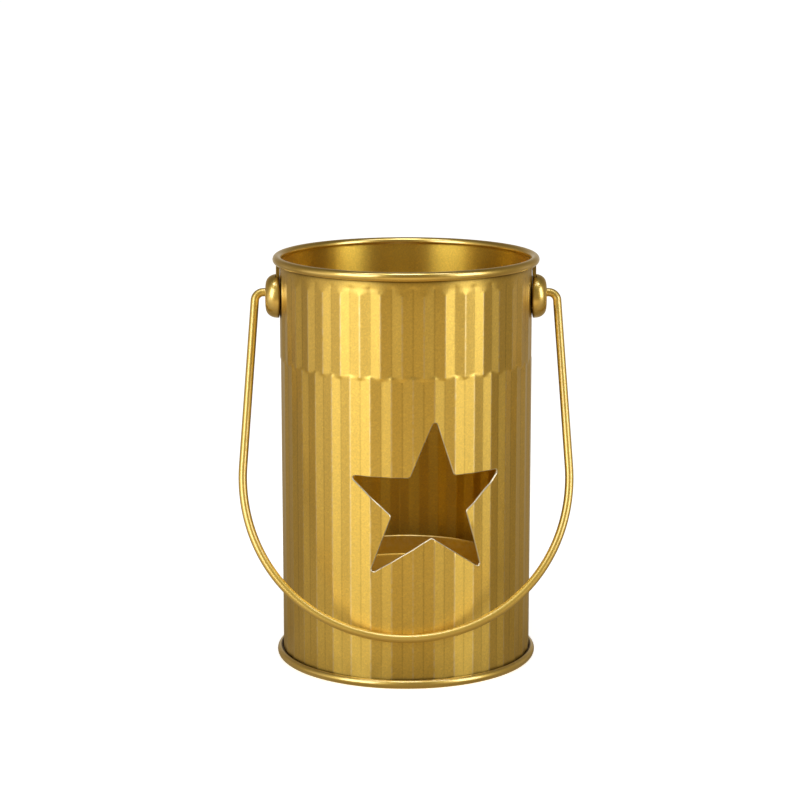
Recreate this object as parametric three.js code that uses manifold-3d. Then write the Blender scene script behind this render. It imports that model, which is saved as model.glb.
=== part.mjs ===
// Metal pail lantern: a fluted sheet body with a star window, a base pan, a raised candle dish
// that lifts out, and a wire bail that swings in two domed ears.
// Millimetres, +Z up. The origin is on the ground under the middle of the body, the star looks
// towards -Y, and the ears lie on the X axis. Azimuths are counted from -Y towards +X.

import * as THREE from 'three';
import { mergeVertices } from 'three/addons/utils/BufferGeometryUtils.js';
import Module from 'manifold-3d';

const { degToRad } = THREE.MathUtils;
const wasm = await Module();
wasm.setup();

// Sheet body
const BODY_RADIUS = 50; // over the flute ridges
const BODY_HEIGHT = 163; // ground to the top of the rim
const SHEET = 0.5; // thickness of the body and the base
const FLUTE_COUNT = 38; // flutes round the body, one ridge and one valley each
const FLUTE_DEPTH = 0.36; // ridge to valley
const FLUTE_AZIMUTH = degToRad(3.1); // of a ridge in the lower band
const COLLAR_DROP = 5; // top of the rim to the lower end of the smooth collar
const FLUTE_FADE = 4.2; // height over which flutes run out under the collar
const FOOT_FADE = 2.1; // height over which flutes run out above the base
const BAND_DROP = 41.2; // top of the rim to the line where ridges and valleys swap
const BAND_STEP = 2.6; // height of that swap
const SEAM_RISE = 0.4; // how far the folded back seam stands proud

// Edges of the sheet
const RIM_WIRE_RADIUS = 0.85; // wire inside the rim curl
const RIM_CURL_END = degToRad(-115); // where the curl stops, short of the wall
const HEM_RADIUS = 1.03; // rolled foot of the body
const HEM_OFFSET = 0.3; // hem centre outside the wall
const BASE_CURL_START = degToRad(-65); // where the base curl leaves the ground
const BASE_CURL_END = degToRad(85); // where the curl stops, short of the wall
const FLOOR_HEIGHT = 1.6; // ground to the underside of the base pan
const FLOOR_SLOPE = 1.9; // run of the slope between the floor and the ground
const GROUND_FLAT = 0.5; // half the width of the ring that the base stands on

// Star window, drawn on the unrolled sheet. It is cut freehand, with its lower points spread.
const STAR_RADIUS = 33.8; // centre to the points at the sides
const STAR_HEIGHT = 72.9; // ground to the centre
const STAR_AZIMUTH = degToRad(10.97);
const STAR_POINT_TRIM = 3.1; // length of edge given to each rounded point
const STAR_NOTCH_TRIM = 0.8; // length of edge given to each rounded notch
// Points and notches in turn, clockwise from the top: share of the radius, degrees from the right
const STAR_CORNERS = [
  [1.01, 87.1],
  [0.43, 49.6],
  [1, 19.3],
  [0.445, -13.5],
  [1.045, -51.6],
  [0.387, -88.3],
  [1.097, -130.7],
  [0.469, -164],
  [1.015, 161.3],
  [0.396, 127.4],
];

// Ears
const EAR_DROP = 16.87; // top of the rim to the middle of the dome
const EAR_RADIUS = 8.75;
const EAR_DEPTH = 5.3; // back edge of the dome to its face
const EAR_SHOULDER = 3.6; // radius between the dome's side and face
const EAR_WALL = 0.8;
const EAR_PLATE = 1; // thickness of the plate behind the dome
const STRAP_WIDTH = 6; // tab of the plate that runs up under the rim

// Bail handle
const BAIL_RADIUS = 1.7; // of the wire
const BAIL_STRAIGHT = 0.8; // dome face to the start of the bend
const BAIL_BEND = 1.7; // inside radius of the bend
const BAIL_SPLAY = 3.9; // how far each leg spreads down to the bow
const BAIL_REST_HEIGHT = 20.7; // ground to the middle of the wire at rest
const BAIL_HEAD_RADIUS = 2.6; // upset end that the dome traps
const BAIL_HEAD = 1.1; // thickness of the upset end
const PIVOT_RISE = 1.44; // middle of the dome up to the pivot

// Candle dish and its stand
const DISH_SHEET = 0.6;
const DISH_LIFT = 30.3; // ground to the top of the dish's floor
const DISH_HEIGHT = 8.2; // dish floor to the top of its rim
const DISH_RING_GAP = 8.5; // inner wall of the body to the dish's rim
const DISH_CORNER = 2; // radius between floor and wall
const DISH_HEM = 0.75; // radius of the rolled rim
const DISH_HEM_START = degToRad(-60); // where the roll stops, short of the dish's wall
const STAND_TOP_RADIUS = 23;
const STAND_FOOT = 3.2; // width of the flat foot round the skirt
const STAND_FOOT_GAP = 2.6; // inner wall of the body to the stand's foot
const STAND_CORNER = 1.2; // bevel at both ends of the skirt

// Rivets
const RIVET_RADIUS = 1; // shank
const RIVET_HEAD_RADIUS = 1.8;
const RIVET_HEAD = 0.6; // thickness of the head and of the tail
const EAR_RIVET_EDGE = 1.6; // rivet head to the edge of the ear plate
const DISH_RIVET_COUNT = 3;
const DISH_RIVET_EDGE = 6; // rivet head to the edge of the stand's top

// Clearances
const FIT_GAP = 0.3; // between neighbouring pieces
const CUT_MARGIN = 2; // how far a cutting shape reaches past what it cuts

// Facets
const ROUND_SIDES = 48; // turned pieces other than the fluted body
const SMALL_SIDES = 24; // ears, with half as many on rivets
const WIRE_SIDES = 8;
const CURL_STEPS = 6; // steps round the rim and base curls
const CORNER_STEPS = 4; // steps of a hem or a shoulder
const STAR_STEPS = 4; // steps of each edge and each corner of the star
const BEND_STEPS = 5; // steps of the bend at each end of the bail
const LEG_STEPS = 3; // steps down each leg of the bail
const BOW_STEPS = 14; // steps of each half of the bail's bow
const WELD = 1e-4; // vertices closer than this are one

// Colour and roughness of each finish
const FINISHES = {
  goldSheet: { color: 0xc9a03c, roughness: 0.35 },
  goldBase: { color: 0xc79d3a, roughness: 0.35 },
  goldPlate: { color: 0xb8923a, roughness: 0.4 },
  goldDome: { color: 0xcda644, roughness: 0.32 },
  goldBail: { color: 0xc39a3c, roughness: 0.3 },
  goldDish: { color: 0xc49a38, roughness: 0.35 },
  goldStand: { color: 0xb98f34, roughness: 0.4 },
  steelWire: { color: 0x9a9a96, roughness: 0.45 },
  rivet: { color: 0xb4b0a4, roughness: 0.4 },
};

// Levels and radii that several pieces share
const innerRadius = BODY_RADIUS - FLUTE_DEPTH - SHEET;
const rimBead = RIM_WIRE_RADIUS + FIT_GAP + SHEET;
const rimCentre = new THREE.Vector2(BODY_RADIUS - SHEET + rimBead, BODY_HEIGHT - rimBead);
const baseBead = HEM_RADIUS + FIT_GAP + SHEET;
const baseCentre = new THREE.Vector2(BODY_RADIUS + HEM_OFFSET, baseBead);
const floorTop = FLOOR_HEIGHT + SHEET;
const bandLevel = BODY_HEIGHT - BAND_DROP;
const collarLevel = BODY_HEIGHT - COLLAR_DROP;
const footLevel = 2 * baseBead + FIT_GAP;
const earLevel = BODY_HEIGHT - EAR_DROP;
const earSeat = BODY_RADIUS + FIT_GAP;
const earFace = earSeat + EAR_DEPTH;
const plateRadius = EAR_RADIUS - EAR_WALL - FIT_GAP;
const earRivetDrop = plateRadius - EAR_RIVET_EDGE - RIVET_HEAD_RADIUS;
const pivotLevel = earLevel + PIVOT_RISE;
const dishUnderside = DISH_LIFT - DISH_SHEET;
const standTop = dishUnderside - FIT_GAP;
const dishRivetCircle = STAND_TOP_RADIUS - DISH_RIVET_EDGE - RIVET_HEAD_RADIUS;
const rivetHole = RIVET_RADIUS + FIT_GAP;

/** Points of an arc in a profile, both ends included. */
function arcPoints(centre, radius, start, end, steps) {
  return Array.from({ length: steps + 1 }, (_, i) => {
    const angle = start + ((end - start) * i) / steps;
    return new THREE.Vector2(centre.x + radius * Math.cos(angle), centre.y + radius * Math.sin(angle));
  });
}

/** A point of a profile: distance from the axis, height. */
function at(radius, height) {
  return new THREE.Vector2(radius, height);
}

/** Signed volume of a closed triangle mesh, positive when its faces point out. */
function signedVolume(geometry) {
  const position = geometry.attributes.position;
  const index = geometry.index;
  const a = new THREE.Vector3();
  const b = new THREE.Vector3();
  const c = new THREE.Vector3();
  let volume = 0;
  for (let i = 0; i < index.count; i += 3) {
    a.fromBufferAttribute(position, index.getX(i));
    b.fromBufferAttribute(position, index.getX(i + 1));
    c.fromBufferAttribute(position, index.getX(i + 2));
    volume += a.dot(b.cross(c)) / 6;
  }
  return volume;
}

/** Keeps only positions, joins equal vertices, drops empty triangles and turns all faces outwards. */
function closed(geometry) {
  const bare = geometry.clone();
  bare.deleteAttribute('normal');
  bare.deleteAttribute('uv');
  const merged = mergeVertices(bare, WELD);
  const old = merged.index.array;
  const kept = [];
  for (let i = 0; i < old.length; i += 3) {
    const [a, b, c] = [old[i], old[i + 1], old[i + 2]];
    if (a !== b && b !== c && c !== a) kept.push(a, b, c);
  }
  merged.setIndex(kept);
  if (signedVolume(merged) < 0) merged.setIndex(kept.reverse());
  return merged;
}

/** A geometry as a solid that can be joined and cut. */
function solidOf(geometry) {
  const mesh = closed(geometry);
  return new wasm.Manifold(new wasm.Mesh({
    numProp: 3,
    vertProperties: new Float32Array(mesh.attributes.position.array),
    triVerts: new Uint32Array(mesh.index.array),
  }));
}

/** A joined or cut solid as a geometry again. */
function geometryOf(solid) {
  const mesh = solid.getMesh();
  const geometry = new THREE.BufferGeometry();
  geometry.setAttribute('position', new THREE.BufferAttribute(new Float32Array(mesh.vertProperties), 3));
  geometry.setIndex(new THREE.BufferAttribute(new Uint32Array(mesh.triVerts), 1));
  return geometry;
}

/** One geometry with others cut out of it. */
function cut(geometry, cutters) {
  const solid = cutters.reduce((left, cutter) => left.subtract(solidOf(cutter)), solidOf(geometry));
  return geometryOf(solid);
}

/** A profile turned about Z. It ends on the axis, or closes on itself. */
function turned(profile, sides, start = 0) {
  return new THREE.LatheGeometry(profile, sides, start).rotateX(Math.PI / 2);
}

/** A geometry made about Z, laid along +X. */
function alongX(geometry) {
  return geometry.rotateY(Math.PI / 2);
}

/** A plain round bar about Z between two heights. */
function bar(radius, low, high, sides) {
  return turned([at(0, low), at(radius, low), at(radius, high), at(0, high)], sides);
}

/** A rivet about Z: its tail ends at low, its head at high, and both grip what lies between. */
function rivet(low, high) {
  const profile = [
    at(0, low),
    at(RIVET_HEAD_RADIUS, low),
    at(RIVET_HEAD_RADIUS, low + RIVET_HEAD),
    at(RIVET_RADIUS, low + RIVET_HEAD),
    at(RIVET_RADIUS, high - RIVET_HEAD),
    at(RIVET_HEAD_RADIUS, high - RIVET_HEAD),
    at(RIVET_HEAD_RADIUS, high),
    at(0, high),
  ];
  return turned(profile, SMALL_SIDES / 2);
}

/** Closed section of the body sheet: foot hem, outer wall, rim curl and inner wall. */
function bodyProfile() {
  const outside = BODY_RADIUS;
  const inside = BODY_RADIUS - SHEET;
  const hemTop = Math.PI - Math.acos(HEM_OFFSET / HEM_RADIUS);
  const hemBottom = Math.min(HEM_OFFSET + SHEET, HEM_RADIUS);
  const hemStart = Math.acos(hemBottom / HEM_RADIUS) - Math.PI;
  const hem = arcPoints(baseCentre, HEM_RADIUS, hemStart, hemTop, CORNER_STEPS);
  const levels = [
    footLevel,
    footLevel + FOOT_FADE,
    bandLevel - BAND_STEP / 2,
    bandLevel + BAND_STEP / 2,
    collarLevel - FLUTE_FADE,
    collarLevel,
  ];
  const curlInside = arcPoints(rimCentre, rimBead - SHEET, Math.PI, RIM_CURL_END, CURL_STEPS);
  const curlOutside = arcPoints(rimCentre, rimBead, RIM_CURL_END, Math.PI, CURL_STEPS);
  const outer = levels.map((level) => at(outside, level));
  const inner = levels.map((level) => at(inside, level)).reverse();
  return [...hem, ...outer, ...curlInside, ...curlOutside, ...inner, hem[0].clone()];
}

/** How far the flutes and the back seam move the wall outwards at one column and height. */
function wallShift(column, height, isOuter) {
  const above = THREE.MathUtils.clamp((height - footLevel) / FOOT_FADE, 0, 1);
  const below = THREE.MathUtils.clamp((collarLevel - height) / FLUTE_FADE, 0, 1);
  const strength = above * below;
  const seamColumn = Math.floor((Math.PI - FLUTE_AZIMUTH) / (Math.PI / FLUTE_COUNT));
  if (column === seamColumn || column === seamColumn + 1) return isOuter ? SEAM_RISE * strength : 0;
  const isRidge = column % 2 === (height < bandLevel ? 0 : 1);
  return isRidge ? 0 : -FLUTE_DEPTH * strength;
}

/** The plain turned shell with its flutes and seam pressed in. */
function flutedShell() {
  const profile = bodyProfile();
  const shell = turned(profile, 2 * FLUTE_COUNT, FLUTE_AZIMUTH);
  const position = shell.attributes.position;
  for (let i = 0; i < position.count; i += 1) {
    const column = Math.floor(i / profile.length) % (2 * FLUTE_COUNT);
    const radius = Math.hypot(position.getX(i), position.getY(i));
    const isOuter = radius > BODY_RADIUS - SHEET / 2;
    const scale = (radius + wallShift(column, position.getZ(i), isOuter)) / radius;
    position.setXY(i, position.getX(i) * scale, position.getY(i) * scale);
  }
  return shell;
}

/** Outline of the star on the unrolled sheet, with rounded points and notches. */
function starOutline() {
  const corners = STAR_CORNERS.map(([share, degrees]) => {
    const reach = share * STAR_RADIUS;
    const angle = degToRad(degrees);
    return new THREE.Vector2(reach * Math.cos(angle), reach * Math.sin(angle));
  });
  const outline = new THREE.Path();
  corners.forEach((corner, i) => {
    const trim = i % 2 === 0 ? STAR_POINT_TRIM : STAR_NOTCH_TRIM;
    const before = corners.at(i - 1);
    const after = corners[(i + 1) % corners.length];
    const start = corner.clone().add(before.clone().sub(corner).setLength(trim));
    const end = corner.clone().add(after.clone().sub(corner).setLength(trim));
    if (i === 0) outline.moveTo(start.x, start.y);
    else outline.lineTo(start.x, start.y);
    outline.quadraticCurveTo(corner.x, corner.y, end.x, end.y);
  });
  outline.closePath();
  return outline;
}

/** Prism of the star, bent to the sheet's curve and aimed along the star's azimuth. */
function starCutter() {
  const sheetRadius = BODY_RADIUS - (FLUTE_DEPTH + SHEET) / 2;
  const points = starOutline().curves.flatMap((curve) => curve.getPoints(STAR_STEPS).slice(1));
  const bent = points.map((p) => new THREE.Vector2(sheetRadius * Math.sin(p.x / sheetRadius), p.y));
  const nearest = sheetRadius * Math.cos(STAR_RADIUS / sheetRadius) - CUT_MARGIN;
  const depth = BODY_RADIUS + CUT_MARGIN - nearest;
  const prism = new THREE.ExtrudeGeometry(new THREE.Shape(bent), { depth, bevelEnabled: false });
  return prism
    .translate(0, STAR_HEIGHT, nearest)
    .rotateX(Math.PI / 2)
    .rotateZ(STAR_AZIMUTH);
}

/** Bar through the wall for an ear's rivet, on the side that the angle gives. */
function earRivetCutter(angle) {
  const hole = bar(rivetHole, innerRadius - CUT_MARGIN, earSeat + CUT_MARGIN, SMALL_SIDES / 2);
  return alongX(hole).translate(0, 0, earLevel - earRivetDrop).rotateZ(angle);
}

/** The fluted shell with the star window and the rivet holes of the ears. */
function bodyShell() {
  return cut(flutedShell(), [starCutter(), earRivetCutter(0), earRivetCutter(Math.PI)]);
}

/** Closed ring of wire in the middle of the rim curl. */
function rimWire() {
  const ring = new THREE.TorusGeometry(rimCentre.x, RIM_WIRE_RADIUS, WIRE_SIDES, ROUND_SIDES);
  return ring.translate(0, 0, rimCentre.y);
}

/** Flat floor that slopes down to a ground ring and curls up round the body's hem. */
function basePan() {
  const ringInside = baseCentre.x - GROUND_FLAT;
  const ringOutside = baseCentre.x + GROUND_FLAT;
  const floorEdge = ringInside - FLOOR_SLOPE;
  const insideStart = -Math.PI - BASE_CURL_START;
  const profile = [
    at(0, FLOOR_HEIGHT),
    at(floorEdge, FLOOR_HEIGHT),
    at(ringInside, 0),
    at(ringOutside, 0),
    ...arcPoints(baseCentre, baseBead, BASE_CURL_START, BASE_CURL_END, CURL_STEPS - 1),
    ...arcPoints(baseCentre, baseBead - SHEET, BASE_CURL_END, insideStart, CURL_STEPS),
    at(floorEdge, floorTop),
    at(0, floorTop),
  ];
  return turned(profile, ROUND_SIDES);
}

/** Round plate with a strap on top, in the plane of Y and Z, and its rivet hole. */
function earPlate() {
  const strapTop = rimCentre.y - rimBead - FIT_GAP - earLevel;
  const strapAngle = Math.asin(STRAP_WIDTH / 2 / plateRadius);
  const outline = new THREE.Shape();
  outline.absarc(0, 0, plateRadius, Math.PI / 2 + strapAngle, Math.PI * 2.5 - strapAngle, false);
  outline.lineTo(STRAP_WIDTH / 2, strapTop);
  outline.lineTo(-STRAP_WIDTH / 2, strapTop);
  outline.closePath();
  const hole = new THREE.Path();
  hole.absarc(0, -earRivetDrop, rivetHole, 0, Math.PI * 2, true);
  outline.holes.push(hole);
  const settings = { depth: EAR_PLATE, bevelEnabled: false, curveSegments: SMALL_SIDES / 2 };
  const plate = new THREE.ExtrudeGeometry(outline, settings);
  return plate
    .rotateX(Math.PI / 2)
    .rotateZ(Math.PI / 2)
    .translate(earSeat, 0, earLevel);
}

/** Hollow dome about X, its back edge fitted to the wall, with the bail's hole and the strap's notch. */
function earDome() {
  const shoulder = Math.min(EAR_SHOULDER, EAR_DEPTH - EAR_WALL / 2);
  const centre = at(EAR_RADIUS - shoulder, EAR_DEPTH - shoulder);
  const outer = arcPoints(centre, shoulder, 0, Math.PI / 2, CORNER_STEPS);
  const inner = arcPoints(centre, shoulder - EAR_WALL, Math.PI / 2, 0, CORNER_STEPS);
  const back = Math.sqrt(earSeat ** 2 - EAR_RADIUS ** 2) - earSeat - FIT_GAP;
  const profile = [
    at(EAR_RADIUS, back),
    ...outer,
    at(0, EAR_DEPTH),
    at(0, EAR_DEPTH - EAR_WALL),
    ...inner,
    at(EAR_RADIUS - EAR_WALL, back),
    at(EAR_RADIUS, back),
  ];
  const dome = alongX(turned(profile, SMALL_SIDES)).translate(earSeat, 0, earLevel);
  const hole = alongX(bar(BAIL_RADIUS + FIT_GAP, earSeat, earFace + CUT_MARGIN, SMALL_SIDES));
  hole.translate(0, 0, pivotLevel);
  const notchDepth = EAR_PLATE + FIT_GAP;
  const notch = new THREE.BoxGeometry(2 * notchDepth, STRAP_WIDTH + 2 * FIT_GAP, EAR_RADIUS);
  notch.translate(earSeat, 0, earLevel + EAR_RADIUS);
  const reach = EAR_RADIUS + CUT_MARGIN;
  const wall = bar(earSeat, earLevel - reach, earLevel + reach, 2 * ROUND_SIDES);
  return cut(dome, [hole, notch, wall]);
}

/** Rivet through the ear plate and the wall, its tail clear of the valleys inside. */
function earRivet() {
  const plateFace = earSeat + EAR_PLATE + FIT_GAP;
  const wallFace = Math.sqrt(innerRadius ** 2 - RIVET_HEAD_RADIUS ** 2) - FIT_GAP;
  const pin = rivet(wallFace - RIVET_HEAD, plateFace + RIVET_HEAD);
  return alongX(pin).translate(0, 0, earLevel - earRivetDrop);
}

// Sizes of the bail in its own plane: x across the body, s down from the pivot
const bailHeadFace = earFace - EAR_WALL - FIT_GAP;
const bailTurn = BAIL_BEND + BAIL_RADIUS;
const bailHalfWidth = earFace + BAIL_STRAIGHT + bailTurn;
const bailBow = bailHalfWidth + BAIL_SPLAY;
const bailRestReach = BODY_RADIUS + FIT_GAP + BAIL_RADIUS;
const bailLength = Math.hypot(pivotLevel - BAIL_REST_HEIGHT, bailRestReach);
const bailRestTilt = Math.asin(bailRestReach / bailLength);
const bowLevel = bailLength - bailBow;

/** Middle of the bail wire, sampled in stretches: pin, bend, leg, bow, leg, bend, pin. */
class BailPath extends THREE.Curve {
  constructor() {
    super();
    this.points = this.samples();
    this.steps = this.points.length - 1;
  }

  samples() {
    const pin = [at(bailHeadFace - BAIL_HEAD / 2, 0)];
    const bendCentre = at(bailHalfWidth - bailTurn, bailTurn);
    const bend = arcPoints(bendCentre, bailTurn, -Math.PI / 2, 0, BEND_STEPS);
    const leg = Array.from({ length: LEG_STEPS - 1 }, (_, i) => {
      const share = (i + 1) / LEG_STEPS;
      return at(bailHalfWidth, bailTurn).lerp(at(bailBow, bowLevel), share);
    });
    const bow = arcPoints(at(0, bowLevel), bailBow, 0, Math.PI / 2, BOW_STEPS);
    const half = [...pin, ...bend, ...leg, ...bow];
    const mirrored = half.slice(0, -1).reverse().map((p) => at(-p.x, p.y));
    return [...half, ...mirrored].map((p) => new THREE.Vector3(p.x, 0, -p.y));
  }

  getPoint(t) {
    const place = THREE.MathUtils.clamp(t, 0, 1) * this.steps;
    const first = Math.min(Math.floor(place), this.steps - 1);
    return this.points[first].clone().lerp(this.points[first + 1], place - first);
  }

  getPointAt(u) {
    return this.getPoint(u);
  }

  getTangentAt(u) {
    const reach = 0.5 / this.steps;
    return this.getPoint(u + reach).sub(this.getPoint(u - reach)).normalize();
  }
}

/** Bail wire hanging straight down from its pivot, with an upset head on both ends. */
function bailHandle() {
  const path = new BailPath();
  const section = new THREE.Shape().absarc(0, 0, BAIL_RADIUS, 0, Math.PI * 2);
  const wire = new THREE.ExtrudeGeometry(section, {
    steps: path.steps,
    curveSegments: WIRE_SIDES / 2,
    extrudePath: path,
    bevelEnabled: false,
  });
  const head = () => alongX(bar(BAIL_HEAD_RADIUS, bailHeadFace - BAIL_HEAD, bailHeadFace, SMALL_SIDES));
  const solid = solidOf(wire)
    .add(solidOf(head()))
    .add(solidOf(head().rotateZ(Math.PI)));
  return geometryOf(solid);
}

/** Where the rivets stand round the middle of the dish. */
function dishRivetPlaces() {
  return Array.from({ length: DISH_RIVET_COUNT }, (_, i) => {
    const angle = Math.PI / 2 + (i * 2 * Math.PI) / DISH_RIVET_COUNT;
    return new THREE.Vector2(dishRivetCircle * Math.cos(angle), dishRivetCircle * Math.sin(angle));
  });
}

/** Upright bars through the dish's floor and the stand's top, one for each rivet. */
function dishRivetCutters() {
  const low = standTop - DISH_SHEET - CUT_MARGIN;
  const high = DISH_LIFT + CUT_MARGIN;
  return dishRivetPlaces().map((p) => bar(rivetHole, low, high, SMALL_SIDES / 2).translate(p.x, p.y, 0));
}

/** Shallow dish with a rolled rim. */
function candleDish() {
  const wall = innerRadius - DISH_RING_GAP - 2 * DISH_HEM + DISH_SHEET;
  const rimLevel = DISH_LIFT + DISH_HEIGHT - DISH_HEM;
  const hemCentre = at(wall - DISH_SHEET + DISH_HEM, rimLevel);
  const corner = at(wall - DISH_CORNER, dishUnderside + DISH_CORNER);
  const profile = [
    at(0, dishUnderside),
    ...arcPoints(corner, DISH_CORNER, -Math.PI / 2, 0, CORNER_STEPS / 2),
    ...arcPoints(hemCentre, DISH_HEM, DISH_HEM_START, Math.PI, CORNER_STEPS),
    ...arcPoints(corner, DISH_CORNER - DISH_SHEET, 0, -Math.PI / 2, CORNER_STEPS / 2),
    at(0, DISH_LIFT),
  ];
  return cut(turned(profile, ROUND_SIDES), dishRivetCutters());
}

/** Pressed stand: a flat top, a conical skirt and a flat foot on the base pan. */
function dishStand() {
  const footTop = floorTop + FIT_GAP + DISH_SHEET;
  const footRadius = innerRadius - STAND_FOOT_GAP;
  const skirtFoot = footRadius - STAND_FOOT;
  const outline = [
    at(STAND_TOP_RADIUS - STAND_CORNER, standTop),
    at(STAND_TOP_RADIUS, standTop - STAND_CORNER),
    at(skirtFoot, footTop + STAND_CORNER),
    at(skirtFoot + STAND_CORNER, footTop),
  ];
  const inward = outline.map((p) => at(p.x - DISH_SHEET / 2, p.y - DISH_SHEET));
  const profile = [
    at(0, standTop),
    ...outline,
    at(footRadius, footTop),
    at(footRadius, footTop - DISH_SHEET),
    ...inward.reverse(),
    at(0, standTop - DISH_SHEET),
  ];
  return cut(turned(profile, ROUND_SIDES), dishRivetCutters());
}

/** Rivet through the dish's floor and the stand's top. */
function dishRivet(place) {
  const low = standTop - DISH_SHEET - FIT_GAP - RIVET_HEAD;
  const high = DISH_LIFT + FIT_GAP + RIVET_HEAD;
  return rivet(low, high).translate(place.x, place.y, 0);
}

/** A named piece of the lantern in a metal finish. */
function piece(name, geometry, finish) {
  const material = new THREE.MeshStandardMaterial({ ...finish, metalness: 1 });
  const mesh = new THREE.Mesh(closed(geometry), material);
  mesh.name = name;
  return mesh;
}

const lantern = new THREE.Group();
lantern.add(
  piece('body_shell', bodyShell(), FINISHES.goldSheet),
  piece('rim_wire', rimWire(), FINISHES.steelWire),
  piece('base_pan', basePan(), FINISHES.goldBase),
);

['right', 'left'].forEach((side, i) => {
  const ear = new THREE.Group();
  ear.rotation.z = i * Math.PI;
  ear.add(
    piece(`ear_plate_${side}`, earPlate(), FINISHES.goldPlate),
    piece(`ear_dome_${side}`, earDome(), FINISHES.goldDome),
    piece(`ear_rivet_${side}`, earRivet(), FINISHES.rivet),
  );
  lantern.add(ear);
});

const bail = new THREE.Group();
bail.position.z = pivotLevel;
bail.rotation.x = -bailRestTilt;
bail.add(piece('bail_handle', bailHandle(), FINISHES.goldBail));
lantern.add(bail);

const candleInsert = new THREE.Group();
candleInsert.add(
  piece('candle_dish', candleDish(), FINISHES.goldDish),
  piece('dish_stand', dishStand(), FINISHES.goldStand),
);
dishRivetPlaces().forEach((place, i) => {
  candleInsert.add(piece(`dish_rivet_${i + 1}`, dishRivet(place), FINISHES.rivet));
});
lantern.add(candleInsert);

export default lantern;
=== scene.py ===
"""Dressed model of a gold sheet-metal pail lantern with a star window.

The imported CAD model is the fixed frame. Each CAD node is stood for by a finer surface, worked out
with numpy in millimetres and put into a mesh in metres. Azimuths count from -Y, where the star
looks, towards +X. Sections are points of distance from the axis and height.
"""

import logging
import math
from dataclasses import dataclass
from enum import Enum

import bmesh
import bpy
import numpy as np
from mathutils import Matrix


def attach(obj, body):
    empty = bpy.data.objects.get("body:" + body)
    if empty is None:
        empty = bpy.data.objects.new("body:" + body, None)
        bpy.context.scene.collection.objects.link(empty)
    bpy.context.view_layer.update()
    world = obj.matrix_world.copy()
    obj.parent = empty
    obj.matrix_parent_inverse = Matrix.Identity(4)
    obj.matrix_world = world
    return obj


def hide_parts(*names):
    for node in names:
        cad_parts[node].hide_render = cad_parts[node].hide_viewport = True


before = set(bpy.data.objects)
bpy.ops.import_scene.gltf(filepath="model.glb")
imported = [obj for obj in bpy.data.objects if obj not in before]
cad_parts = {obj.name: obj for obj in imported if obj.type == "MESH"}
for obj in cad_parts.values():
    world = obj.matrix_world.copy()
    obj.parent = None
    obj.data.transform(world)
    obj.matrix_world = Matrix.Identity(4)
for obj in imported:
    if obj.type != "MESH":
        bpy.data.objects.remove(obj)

Array = np.ndarray
Point = tuple[float, float]
Triple = tuple[float, float, float]
Colour = Triple
Piece = bpy.types.Object
Material = bpy.types.Material
Paints = dict[str, Material]
Socket = bpy.types.NodeSocket
LOG = logging.getLogger("lantern")
MILLIMETRE = 0.001
TURN = 2 * math.pi
UP: Triple = (0.0, 0.0, 1.0)
WELD = 1e-7
SLIVER = 1e-8


class Carrier(Enum):
    """Bodies of the frame that pieces ride on."""

    LANTERN = "lantern"
    BAIL = "bail"
    INSERT = "candle_insert"


class Slot(Enum):
    """Names of the material slots."""

    SHEET = "gold_sheet"
    BASE = "gold_base"
    EAR = "gold_ear"
    BAIL = "gold_bail"
    DISH = "gold_dish"
    WIRE = "steel_wire"
    RIVET = "rivet"


class Side(Enum):
    """The two ears, by the turn about Z that puts the right one there."""

    right = 0.0
    left = math.pi


def smooth_step(value: Array, start: float = 0.0, run: float = 1.0) -> Array:
    """Runs from 0 at the start to 1 a run further as 3t^2 - 2t^3, and is level outside."""
    t = np.clip((value - start) / run, 0.0, 1.0)
    return t * t * (3 - 2 * t)


def unit(vectors: Array) -> Array:
    """Vectors of length one in the directions of the given ones."""
    return vectors / np.linalg.norm(vectors, axis=1, keepdims=True)


def spaced(stops: list[float], counts: tuple[int, ...]) -> Array:
    """Numbers that run through some stops, evenly spaced between each two.

    Args:
        stops: Numbers to run through.
        counts: How many numbers each span has, both of its stops included.

    Returns:
        All numbers in order, each stop once.
    """
    spans = [np.linspace(a, b, n)[1:] for a, b, n in zip(stops, stops[1:], counts)]
    return np.concatenate([stops[:1], *spans])


def between(first: Array, last: Array, count: int) -> Array:
    """Evenly spaced rows from one row to another, without these two."""
    t = np.linspace(0, 1, count + 2)[1:-1, None, None]
    return (1 - t) * first + t * last


def turns(count: int) -> Array:
    """Angles of the steps of one full turn."""
    return np.linspace(0, TURN, count, endpoint=False)


def arc(centre: Point, radius: float, start: float, end: float, count: int) -> Array:
    """Points of a circular arc in a section.

    Args:
        centre: Middle of the arc.
        radius: Radius of the arc.
        start: Angle of the first point in degrees, 0 pointing away from the axis.
        end: Angle of the last point in degrees.
        count: Number of points, both ends included.

    Returns:
        Points, each the centre plus radius times (cos, sin) of its angle.
    """
    angle = np.radians(np.linspace(start, end, count))
    return np.stack([centre[0] + radius * np.cos(angle), centre[1] + radius * np.sin(angle)], -1)


def cap(radius: float, rise: float, level: float) -> Array:
    """Section of an oval cap, from its top on the axis out to the radius at the level."""
    return arc((0.0, 0.0), 1.0, 90, 0, 9) * [radius, rise] + [0, level]


def bezier(corners: Array, count: int) -> Array:
    """Points of a cubic Bezier curve through the first and last of four corners.

    Args:
        corners: The four control points.
        count: Number of points, both ends included.

    Returns:
        The corners weighted by the four cubic Bernstein polynomials.
    """
    t = np.linspace(0, 1, count)[:, None]
    weights = [(1 - t) ** 3, 3 * t * (1 - t) ** 2, 3 * t**2 * (1 - t), t**3]
    return sum(weight * np.array(corner) for weight, corner in zip(weights, corners))


def around(radius: Array, azimuth: Array, height: Array) -> Array:
    """Grid of points x = r sin(azimuth), y = -r cos(azimuth), z = height."""
    parts = np.broadcast_arrays(radius * np.sin(azimuth), -radius * np.cos(azimuth), height)
    return np.stack(parts, -1)


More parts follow.
